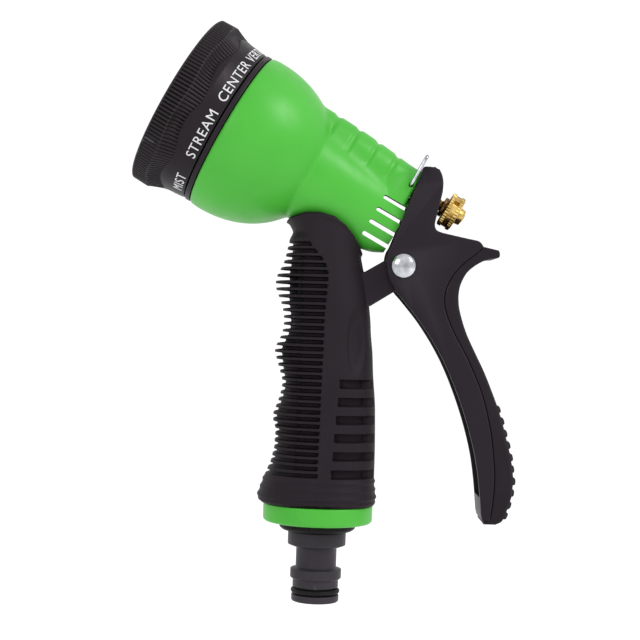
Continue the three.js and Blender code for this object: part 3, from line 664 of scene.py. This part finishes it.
BULB_FRONT_X = 0.95
BULB_R = 27.7
BULB_X = 4.5
BULB_LENGTH = 31.5
BULB_ROUND = 2.07
ROLL_REAR = 63.1
SKIRT_REAR = 65.0
barrel_height = table([(20, 17.6), (30, 16), (45, 13.8), (56, 12.2), (61, 11.2), (65, 9.2)])
barrel_width = table([(20, 17.2), (30, 15.6), (45, 12.6), (56, 9.4), (61, 7.9), (65, 7.5)])
roll_radius = table([(12, 8.1), (27, 8.15), (34, 8.05), (40, 7.9), (45, 7.65), (50, 7.35), (59, 6.65), (70, 6.5)])
roll_centre = table([(12, 14.5), (27, 14.5), (45, 14.1), (59, 13.8), (70, 13.8)])
ROLL_NOTCHES = [(29.4, 27.4, 31.0), (37.6, 35.9, 38.9), (45.3, 43.6, 46.4), (53.2, 51.2, 54.4)]


def smooth_min(a, b, blend):
    h = np.clip(0.5 + 0.5 * (b - a) / blend, 0, 1)
    return b + (a - b) * h - blend * h * (1 - h)


def notch_depth(x):
    """Depth of the notches between the overlapping rings of the valve housing."""
    depth = 0.0
    for bottom, front, rear in ROLL_NOTCHES:
        depth = max(depth, float(np.interp(x, [front, bottom - 0.1, bottom + 0.1, rear], [0, 1, 1, 0])))
    return 0.52 * depth * depth * (3 - 2 * depth)


def head_field(x, y, z):
    """Roughly the distance outside the green head's skin at a point."""
    reach = np.clip(abs(x - BULB_X) / BULB_LENGTH, 0, 0.9999)
    bulb_r = BULB_R * (1 - reach**BULB_ROUND) ** (1 / BULB_ROUND)
    bulb_r = np.where(x < BULB_X, BULB_R - 0.03 * (BULB_X - x) ** 2, bulb_r)
    bulb = np.where(x < BULB_X + BULB_LENGTH - 1, np.hypot(y, z) - bulb_r, 50.0)
    w, h, n = barrel_width(x), barrel_height(x), 2.3
    h = h - 0.9 * smooth_step(37, 25, x) * (z < 0) + 1.8 * smooth_step(58, 65, x) * (z > 0)
    barrel = (((np.abs(y) / w) ** n + (np.abs(z) / h) ** n) ** (1 / n) - 1) * np.minimum(w, h)
    lift = z - roll_centre(x)
    mask = smooth_step(-3.5, -0.5, lift)
    end = 1.1 * (1 - math.sqrt(max(0.0, 1 - (max(0.0, x - ROLL_REAR + 1.2) / 1.25) ** 2)))
    roll = np.hypot(y, lift) - roll_radius(x) + notch_depth(x) * mask + end
    ears = np.maximum(np.abs(y) - 7.8, np.abs(z - 11.2) - 4.7) + 2.5 * smooth_step(59, 53, x) + end
    if x > ROLL_REAR + 0.001:
        roll = np.full_like(roll, 50.0)
        ears = roll
    lower = smooth_min(smooth_min(barrel, roll, 3.2), ears, 1.6)
    return smooth_min(lower, bulb, 0.9)


def skirt_field(x, y, z):
    """Less than 0 inside the hollow of the rear skirt."""
    w, h, n = barrel_width(x) - 1.7, barrel_height(x) - 1.7, 2.3
    h = h + 1.8 * smooth_step(58, 65, x) * (z > 0)
    barrel = (((np.abs(y) / w) ** n + (np.abs(z) / h) ** n) ** (1 / n) - 1) * np.minimum(w, h)
    roll = np.where(x < ROLL_REAR + 0.3, roll_radius(x) + 0.6 - np.hypot(y, z - roll_centre(x)), -50.0)
    return np.maximum(barrel, roll)


def section(field, x, angle, origin_z):
    """Points of the field's zero line at station x, along rays from (0, origin_z)."""
    low = np.zeros_like(angle)
    high = np.full_like(angle, 40.0)
    for _ in range(26):
        middle = (low + high) / 2
        inside = field(x, -middle * np.cos(angle), origin_z + middle * np.sin(angle)) < 0
        low = np.where(inside, middle, low)
        high = np.where(inside, high, middle)
    return np.stack([np.full_like(angle, x), -low * np.cos(angle), origin_z + low * np.sin(angle)], 1)


def circle(x, radius, angle):
    return np.stack([np.full_like(angle, x), -radius * np.cos(angle), radius * np.sin(angle)], 1)


SLOT_SLANT = 0.065


def slot_cutter(index):
    """A slot through both walls of the skirt, round at its front end and slanting up across the width."""
    z = 6.4 - 4.58 * index
    half = 0.7
    front = 56.2
    arc = [(front - half * math.sin(a), z + half * math.cos(a)) for a in np.linspace(0, math.pi, 9)]
    slant = Matrix.Identity(4)
    slant[2][1] = SLOT_SLANT
    slant[2][3] = SLOT_SLANT * 8
    return slab("slot", [(SKIRT_REAR + 3, z + half), *arc, (SKIRT_REAR + 3, z - half)], -20, 20, HEAD @ slant)


def green_head():
    angle = np.linspace(0, math.tau, 176, endpoint=False)
    inside = [(17, 0.05), (16.5, 8), (13, 16), (7, 21.5), (3, 23.6), (BULB_FRONT_X, 24)]
    rows = [circle(x, r, angle) for x, r in inside]
    rows += [circle(BULB_FRONT_X, 26.9, angle), circle(BULB_FRONT_X + 0.2, 27.2, angle)]
    stations = list(np.arange(1.6, 19, 1.1)) + list(np.arange(19.2, 34.2, 0.3)) + list(np.arange(34.2, 60.3, 0.28))
    stations += [60.6, 61.1, 61.6, 62.0, 62.4, 62.7, 62.9, 63.0, 63.1]
    rows += [section(head_field, x, angle, 5.5) for x in stations]
    for x in (63.12, 63.3, 63.6, 64, 64.6, 64.85):
        origin = 5.5 * (SKIRT_REAR - x) / (SKIRT_REAR - ROLL_REAR)
        rows.append(section(head_field, x, angle, origin))
    rim = section(head_field, SKIRT_REAR, angle, 0.0)
    rim[:, 1:] *= 0.975
    rows.append(rim)
    rows.append(section(skirt_field, SKIRT_REAR, angle, 0.0))
    rows += [section(skirt_field, x, angle, 0.0) for x in (64, 63.7, 63.42, 63.38, 58, 54, 51)]
    rows.append(circle(50, 3.5, angle))
    rows.append(circle(50, 0.05, angle))
    head = grid_object("green_head", rows, HEAD, sharp=38)
    cutters = [slot_cutter(i) for i in range(4)]
    cutters.append(lathe("chamber", [(20, 0), (20, 5.4), (70, 5.4), (70, 0)], VALVE, 64, 0))
    for side in (-1, 1):
        near, far = (6.6, 9.5) if side > 0 else (-9.5, -6.6)
        profile = [(near, 0), (near, 0.85), (far, 0.85), (far, 0)]
        cutters.append(lathe("clip_hole", profile, CLIP_AXIS, 24, 0))
    carve(head, cutters, sharp=38)
    return finish_piece(head, GREEN, "body", "green_plastic", "body_shell")


def green_foot():
    profile = [(27.2, 9), (27.2, 12.9), (26.5, 13.1), (26.5, 17.5), (27.2, 18.2), (32.5, 18.2), (32.5, 9.4),
               (110, 9.4), (110, 5), (37.3, 5), (37.3, 8.3), (27.2, 8.3), (27.2, 9)]
    foot = lathe("green_foot", fillet(profile, 0.4)[:-1], UPRIGHT, 144, 0, closed=True)
    return finish_piece(foot, GREEN, "body", "green_plastic")


green_head()
green_foot()


# ------------------------------------------------------------------ grip

grip_tip = table([(32.7, -18.9), (34.6, -20.1), (38, -19.3), (43.4, -17.4), (46.1, -16.3), (48.8, -15.7),
                  (51.4, -15.2), (54.1, -15.2), (56.8, -15.0), (59.4, -15.8), (62.1, -15.9), (64.8, -15.0),
                  (67.5, -14.1), (70.2, -13.5), (72.9, -13.3), (75.5, -14.0), (78.1, -14.8), (80.8, -15.6),
                  (83.4, -16.1), (86, -15.1), (88, -14.2), (91, -13.5), (95, -13.6), (99, -14.6), (102, -15.9),
                  (104.7, -16.6), (108, -16.1), (112, -14.2), (118, -12.8), (120, -12.4), (122.3, -11.5),
                  (124.5, -12.5), (126.5, -13.6), (131, -14)])
grip_depth = table([(32, 0.6), (40, 0.8), (50, 1.0), (60, 1.2), (70, 1.1), (76, 1.3), (82, 2.2), (90, 2.3),
                    (98, 2.6), (102, 4), (105, 4.7), (108, 4), (112, 2.6), (118, 1.5), (121, 0.5), (124, 0.0),
                    (131, 0.0)])
grip_rear = table([(32.7, 18.6), (35, 18.9), (37, 18.8), (40.7, 18.4), (51.4, 18.3), (62, 18), (67.5, 17.7),
                   (75.5, 16.9), (83, 16.4), (88.9, 15.7), (95, 15.2), (104, 13.9), (112.3, 12), (116.6, 11.4),
                   (131, 11.2)])
grip_width = table([(32.7, 17), (36, 17.2), (45, 15.4), (60, 14.6), (85, 13.8), (105, 13.6), (118, 14.0),
                    (131, 14.6)])
GRIP_TOP = [(-14.2, 125.5), (-12.2, 127.3), (-7.7, 128.4), (-2.7, 128.5), (2.4, 127.3), (5.8, 125), (8.2, 122.3),
            (10, 119.5), (11.6, 116.4)]
GRIP_BOTTOM = 32.8
RIB_TOP = 119.3
RIB_STEP = 2.28
RIB_COUNT = 34
rib_reach = table([(36, -0.6), (44, -0.5), (60, -0.3), (80, 0.0), (95, 0.2), (106, 0.9), (110, 0.6), (113.5, -1.2),
                   (117, -4.2), (120, -6.5)])
BASE_RIDGES = [(40.6, 0.5, 0.35), (38.0, 0.45, 0.3), (35.4, 0.6, 0.4), (33.6, 0.5, 0.3)]  # height, spread, rise
SIDE_SLOTS = 6
SIDE_SLOT_Z = 43.45  # the lowest side slot
SIDE_SLOT_STEP = 5.88


def grip_point(z, angle):
    """The sleeve's surface at height z and angle, before the top is shaped. 0 faces the camera side."""
    tip, rear, width = grip_tip(z), grip_rear(z), grip_width(z)
    centre = (tip + rear) / 2
    deep = (rear - tip) / 2
    square = 2 / 2.35
    c, s = np.cos(angle), np.sin(angle)
    x = centre + deep * np.sign(s) * np.abs(s) ** square
    y = -width * np.sign(c) * np.abs(c) ** square
    return x, y


def grip_sleeve():
    around = 260
    angle = np.linspace(0, math.tau, around, endpoint=False)
    rows = []
    heights = np.arange(GRIP_BOTTOM, 131, 0.19)
    top_x, top_z = np.array(GRIP_TOP).T
    for z in heights:
        x, y = grip_point(z, angle)
        inward_x = -np.sin(angle)
        inward_y = np.cos(angle)
        phase = (RIB_TOP - z) / RIB_STEP
        groove = 0.5 - 0.5 * np.cos(math.tau * phase)
        groove = smooth_step(0.3, 0.64, groove)
        if not 0 <= phase < RIB_COUNT:
            groove = 0.0
        side = smooth_step(0.0, 0.7, rib_reach(z) - x)
        nose = smooth_step(-7.5, -12.5, x)
        depth = (1.7 + (np.maximum(grip_depth(z), 1.1) - 1.7) * nose) * side * groove
        furrow = np.exp(-(((x + 8.3) / 0.45) ** 2)) * smooth_step(117, 113, z) * smooth_step(43, 46, z)
        depth = depth + 0.45 * furrow
        index = round((z - SIDE_SLOT_Z) / SIDE_SLOT_STEP)
        if 0 <= index < SIDE_SLOTS:
            near = abs(z - SIDE_SLOT_Z - SIDE_SLOT_STEP * index)
            start = np.interp(index, [0, SIDE_SLOTS - 1], [3.8, 5.6])
            end = grip_rear(z) - 1.6
            recess = smooth_step(1.55, 1.2, near) * smooth_step(start, start + 0.6, x)
            depth = depth + 2.8 * recess * smooth_step(end + 1.2, end, x)
        oval = ((x - 10.6) / 3.2) ** 2 + ((z - 86.5) / 11) ** 2
        depth = depth + 0.7 * smooth_step(1.15, 0.3, oval)
        ridges = sum(height * math.exp(-(((z - at) / wide) ** 2)) for at, wide, height in BASE_RIDGES)
        x = x + inward_x * (depth - ridges)
        y = y + inward_y * (depth - ridges)
        ceiling = np.interp(x, top_x, top_z)
        rolled = 0.5 * np.exp(-(((ceiling - z - 1.0) / 0.6) ** 2)) - 0.9 * smooth_step(0.6, -0.1, ceiling - z)
        x = x - inward_x * rolled
        y = y - inward_y * rolled
        rows.append(np.stack([x, y, np.minimum(z, ceiling)], 1))
    rim = rows[-1]
    rows += [rim * (shrink, shrink, 1) - (0, 0, drop) for shrink, drop in [(0.97, 0.15), (0.93, 0.8), (0.8, 3.0)]]
    grip = grid_object("grip_cover", rows, BODY, sharp=60)
    return finish_piece(grip, SOFT, "body", "soft_grip", "grip_sleeve")


grip_sleeve()


# ------------------------------------------------------------------ trigger

LEVER_FRONT = [(21, 118.8), (19.8, 116.3), (19.5, 113), (20.5, 108), (23.1, 103.6), (25.6, 100.8), (31, 94.4),
               (35.5, 88), (39.3, 81.6), (42.4, 75.2), (45.1, 68.7), (47.4, 62.3), (49.4, 55.8), (51, 49.3),
               (52.1, 42.8), (52.9, 36.3), (53.4, 31.5), (53.9, 29.6)]
PAD_LINE = [(56.3, 29.8), (57.1, 36), (57.4, 44), (56.6, 52.6), (55.2, 60.9), (52.2, 71.5), (47.2, 82.5),
            (42.4, 91), (39.6, 97.7), (39, 102), (39.8, 106), (41.8, 110), (45.2, 113.8), (49, 117), (51.2, 119.2)]
PAD_BACK = [(56.2, 118.2), (56.6, 117.2), (56.2, 115.8), (53.2, 115.3), (50, 113.8), (47.3, 111.8), (45.6, 109.8),
            (44.2, 106.7), (43.7, 104), (43.7, 101.2), (44.3, 97.6), (46.4, 91.2), (49.5, 84.8), (52.8, 78.4),
            (55.6, 72), (57.9, 66.3), (59.7, 61), (60.8, 57), (61.9, 53.3), (62.9, 48.8), (63.6, 44), (63.5, 40),
            (63.3, 37.7), (62.6, 35.4), (61.9, 33), (61.2, 31), (60.1, 29.4), (58.2, 28.5)]
ARM = [(50, 121), (45.1, 121.9), (37.4, 123.4), (35.5, 124.1), (34.9, 125.9), (37.3, 136.9), (37.4, 140.1),
       (37.1, 142.2), (36.5, 143.8), (35.2, 145), (31.6, 145.3), (30.8, 144.9), (30.5, 143.9)]
ARM_CREASE = (34.0, 138.9)  # frame X, Z of the crease where the arm starts to narrow
ARM_CREASE_SLOPE = 0.2
LEVER_HALF = 10.0
CHANNEL_HALF = 8.1


def lever_outline(dx=0.0, dz=0.0):
    front = smooth_line(LEVER_FRONT, 5)
    line = smooth_line(PAD_LINE, 5)
    arm = fillet([tuple(line[-1]), *ARM, tuple(front[0])], 1.2)[1:-1]
    points = [tuple(p) for p in front] + [tuple(p) for p in line] + arm
    return [(x + dx, z + dz) for x, z in points]


def trigger_lever():
    lever = rounded_slab("lever", lever_outline(), LEVER_HALF, 0.7)
    room = slab("room", lever_outline(-2.5, -1.6), -CHANNEL_HALF, CHANNEL_HALF)
    floor = box_object("keep", (-20, -30, 10), (90, 30, 37), BODY)
    carve(room, [floor])
    carve(lever, [room], sharp=40)
    pin_hole = lathe("pin_hole", [(-12, 0), (-12, 2.7), (12, 2.7), (12, 0)], CROSS, 48, 0)
    stem_slot = box_object("stem_slot", (60, -2.4, VALVE_Z - 3.3), (80, 2.4, VALVE_Z + 3), HEAD)
    carve(lever, [pin_hole, stem_slot], sharp=40)
    ridges = []
    for x, z in [(33.2, 144.9), (34.7, 144.85), (36.0, 144.1)]:
        across = BODY @ Matrix.Translation((x, 0, z)) @ Matrix.Rotation(math.pi / 2, 4, "Z")
        profile = [(-6.5, 0), (-6.5, 0.3), (-6, 0.6), (6, 0.6), (6.5, 0.3), (6.5, 0)]
        ridges.append(lathe("ridge", profile, across, 16, 0))
    carve(lever, ridges, "UNION", sharp=40)
    crease_x, crease_z = ARM_CREASE
    mesh = bmesh.new()
    mesh.from_mesh(lever.data)
    for rise in (0, 1.6, 3.2):
        cut = bmesh.ops.bisect_plane(mesh, geom=[*mesh.verts, *mesh.edges, *mesh.faces], dist=1e-7,
                                     plane_co=(crease_x * MM, 0, (crease_z + rise) * MM),
                                     plane_no=(-ARM_CREASE_SLOPE, 0, 1))
        for edge in cut["geom_cut"]:
            if rise == 0 and isinstance(edge, bmesh.types.BMEdge):
                edge.smooth = False
    for vertex in mesh.verts:  # above a crease the top of the arm narrows
        over = vertex.co.z / MM - crease_z - ARM_CREASE_SLOPE * (vertex.co.x / MM - crease_x)
        if over > 0 and vertex.co.x < 0.045:
            vertex.co.y *= 1 - 0.06 * over
    mesh.to_mesh(lever.data)
    mesh.free()
    return finish_piece(lever, BLACK, "trigger", "black_plastic", "trigger_lever")


def palm_pad():
    """The soft back of the lever with rows of small nubs on its lower half."""
    line = smooth_line([(x + 0.12, z) for x, z in PAD_LINE], 5)
    back = smooth_line(PAD_BACK, 5)
    points = [(54.3, 28.5), (54.4, 29.4)] + [tuple(p) for p in line] + [tuple(p) for p in back]
    pad = rounded_slab("palm_cover", points, 9.75, 1.3, tight=line)
    verts, faces = [], []
    for row in range(11):
        z = 66.1 - 3.9 * row if row < 9 else (34.6, 31.4)[row - 9]
        place = np.argmin(abs(back[:, 1] - z) + (back[:, 0] < 52) * 99)
        x = back[place, 0]
        ahead = back[min(place + 3, len(back) - 1)] - back[place - 3]
        out = np.array([-ahead[1], 0, ahead[0]]) / np.hypot(*ahead)
        out = out if out[0] > 0 else -out
        up = np.array([-out[2], 0, out[0]])
        for y in np.linspace(-7.4, 7.4, 5) + (0.9 if row % 2 else -0.9) * 0.6:
            centre = np.array([x, y, z])
            start = len(verts)
            for radius, height in ((1.3, -0.5), (1.25, 0.35), (1.0, 0.68), (0.5, 0.8)):
                for a in np.linspace(0, math.tau, 12, endpoint=False):
                    verts.append(centre + out * height + radius * (up * math.cos(a) + np.array([0, math.sin(a), 0])))
            for ring_index in range(3):
                a = start + ring_index * 12
                faces += [(a + k, a + (k + 1) % 12, a + 12 + (k + 1) % 12, a + 12 + k) for k in range(12)]
            faces += [tuple(range(start, start + 12)), tuple(range(start + 47, start + 35, -1))]
    nubs = mesh_object("palm_nubs", verts, faces, BODY)
    finish_piece(nubs, SOFT, "trigger", "soft_grip")
    return finish_piece(pad, SOFT, "trigger", "soft_grip", "palm_pad")


def trigger_bracket():
    arc = [(PIVOT.x + 5.5 * math.cos(a), PIVOT.z + 5.5 * math.sin(a)) for a in np.linspace(-1.3, 2.1, 14)]
    points = [(9.0, 98.6), (15, 98.6), (23.6, 104.2), *arc, (19.5, 114), (12.8, 109.9), (9.0, 109)]
    bracket = rounded_slab("bracket_look", points, 6.3, 0.8)
    return finish_piece(bracket, BLACK, "body", "black_plastic", "trigger_bracket")


def pivot():
    y = LEVER_HALF + 0.3
    profile = [(-y - 1.9, 0), (-y - 1.85, 0.8), (-y - 1.65, 2.0), (-y - 1.25, 3.1), (-y - 0.6, 3.9), (-y - 0.05, 4.2),
               (-y, 4.2), (-y, 2.4), (y + 1.9, 2.4), (y + 2.5, 1.8), (y + 2.5, 0)]
    pin = lathe("rivet", profile, CROSS, 64, 0.12)
    finish_piece(pin, CHROME, "body", "chrome", "pivot_pin")
    washer = ring("rivet_washer_look", y, y + 1.2, 2.7, 4.05, CROSS, 64, 0.3)
    finish_piece(washer, CHROME, "body", "chrome", "rivet_washer")


trigger_lever()
palm_pad()
trigger_bracket()
pivot()


# ------------------------------------------------------------------ valve end

DETENT_R = 19.2  # the detent plunger's distance below the head axis
NUT_TEETH = 34
NUT_FRONT_X = 75.1
NUT_REAR_X = 79.9
NUT_R = 5.95
NUT_POCKETS = 8
CLIP_TOP = (61.2, 24.8)  # head X, Z of the wire's top bar
CLIP_HALF = 9.2
WIRE_R = 0.6


def flow_nut():
    around = NUT_TEETH * 4
    angle = np.linspace(0, math.tau, around, endpoint=False)
    tooth = np.tile([0.0, 0.8, 1.0, 0.8], NUT_TEETH)
    front, rear, radius = NUT_FRONT_X, NUT_REAR_X, NUT_R

    def row(x, r, depth=0.0):
        rr = r - depth * (1 - tooth)
        return np.stack([np.full(around, x), -rr * np.cos(angle), rr * np.sin(angle)], 1)

    rows = [row(front, 2.2), row(front, radius - 0.7), row(front + 0.15, radius - 0.4, 0.1)]
    rows.append(row(front + 0.35, radius, 0.35))
    rows += [row(front + 1.45, radius, 0.35), row(front + 1.55, radius - 0.4), row(rear - 1.55, radius - 0.4)]
    rows += [row(rear - 1.45, radius, 0.35), row(rear - 0.35, radius, 0.35), row(rear - 0.15, radius - 0.4, 0.1)]
    rows += [row(rear, radius - 0.7), row(rear, 2.9), row(rear + 1.7, 2.7)]
    rows += [row(rear + 1.9, 2.5), row(rear + 1.9, 2.2)]
    nut = grid_object("flow_nut_look", rows, VALVE, closed=True, sharp=40)
    holes = []
    for k in range(NUT_POCKETS):
        turn = VALVE @ Matrix.Rotation(math.tau * k / NUT_POCKETS + math.radians(15), 4, "X")
        holes.append(box_object("pocket", (front + 1.45, 3.8, -0.85), (rear - 1.45, 7, 0.85), turn))
    carve(nut, holes, sharp=40)
    return finish_piece(nut, BRASS, "nut", "brass", "flow_nut")


def valve_stem():
    profile = [(21.7, 0), (21.7, 2.6), (23, 2.6), (23, 1.9), (60, 1.9)]
    for i in range(26):
        x = 60 + i * 0.84
        profile += [(x + 0.42, 1.62), (x + 0.84, 1.9)]
    profile += [(82.0, 1.6), (82.2, 1.2), (82.2, 0)]
    stem = lathe("stem", profile, VALVE, 48, 0)
    return finish_piece(stem, BRASS, "stem", "brass", "valve_stem")


def thrust_collar():
    collar = ring("collar", 73.8, 75.0, 2.2, 3.4, VALVE, 64, 0.2)
    return finish_piece(collar, DARK_BRASS, "collar", "brass", "thrust_collar")


def lock_clip():
    """The wire bail: two feet in the housing's ears, two legs and a bar across the top, with round bends."""
    foot_x, foot_z = CLIP.x, CLIP.z
    top_x, top_z = CLIP_TOP
    half = CLIP_HALF
    marks = [(foot_x, -6.9, foot_z), (foot_x, -half, foot_z), (top_x, -half, top_z), (top_x, half, top_z),
             (foot_x, half, foot_z), (foot_x, 6.9, foot_z)]
    line = []
    for before, corner, after in zip(marks, marks[1:], marks[2:]):
        b, c, a = (np.array(p) for p in (before, corner, after))
        start = c + (b - c) / np.linalg.norm(b - c) * 1.3
        end = c + (a - c) / np.linalg.norm(a - c) * 1.3
        for t in np.linspace(0, 1, 7):
            line.append((1 - t) ** 2 * start + 2 * t * (1 - t) * c + t * t * end)
    line = [np.array(marks[0]), *line, np.array(marks[-1])]
    dense = [line[0]]
    for p, q in zip(line, line[1:]):
        steps = max(1, int(np.linalg.norm(q - p) / 0.8))
        dense += [p + (q - p) * (k + 1) / steps for k in range(steps)]
    clip = tube("wire_clip", dense, WIRE_R, HEAD, 18)
    return finish_piece(clip, CHROME, "clip", "chrome", "lock_clip")


def spring(node_name, start, end, radius, wire, turns, z, joint=None):
    """A coil spring with a closed turn at each end; given a joint, it gets a mesh of its own."""
    length = end - start
    points = []
    for t in np.linspace(0, 1, int(turns * 22)):
        a = math.tau * turns * t
        lift = np.interp(t * turns, [0, 1, turns - 1, turns], [0, 2.1 * wire, length - 4.1 * wire, length - 2 * wire])
        points.append((start + wire + lift, radius * math.cos(a), z + radius * math.sin(a)))
    coil = tube(node_name + "_coil", points, wire, HEAD, 12)
    finish_piece(coil, STEEL, "body", "steel", node_name)
    if joint:
        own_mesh(coil)


spring("valve_spring", 30.1, 50.2, 4.0, 0.5, 7, VALVE_Z, "stem_slide")
spring("detent_spring", -9.1, -5.3, 1.2, 0.3, 4, -DETENT_R, "detent_click")
spring("seal_spring", -10.2, -6.1, 3.9, 0.4, 3, VALVE_Z)
flow_nut()
valve_stem()
thrust_collar()
lock_clip()


# ------------------------------------------------------------------ inlet

def inlet():
    profile = [(0, 4.6), (0, 7.6), (0.4, 7.9), (2.3, 7.9), (2.3, 6.2), (4.8, 6.2), (4.8, 7.6), (7.3, 7.6), (7.9, 8.5),
               (10.8, 8.5), (11.4, 6.75), (17.8, 6.75), (18.9, 9.65), (23.3, 9.65), (23.3, 8), (33.5, 8), (33.5, 6),
               (24, 6), (22, 4.6), (0, 4.6)]
    nipple = lathe("nipple", fillet(profile, 0.25)[:-1], UPRIGHT, 96, 0, closed=True)
    finish_piece(nipple, INLET_BLACK, "body", "black_plastic", "inlet_nipple")
    angles = np.linspace(0, math.tau, 20, endpoint=False)
    seal = [(3.55 + 0.85 * math.sin(a), 7.3 + 0.85 * math.cos(a)) for a in angles]
    oring = lathe("inlet_oring", seal, UPRIGHT, 96, 0, closed=True)
    finish_piece(oring, RUBBER, "body", "seal_rubber", "nipple_oring")
    shape = [(26.9, 9), (26.9, 12.65), (24.5, 12.65), (23.6, 11.4), (23.6, 8.3), (26.9, 8.3), (26.9, 9)]
    gasket = lathe("gasket", fillet(shape, 0.5)[:-1], UPRIGHT, 96, 0, closed=True)
    finish_piece(gasket, RUBBER, "body", "seal_rubber", "inlet_gasket")


inlet()
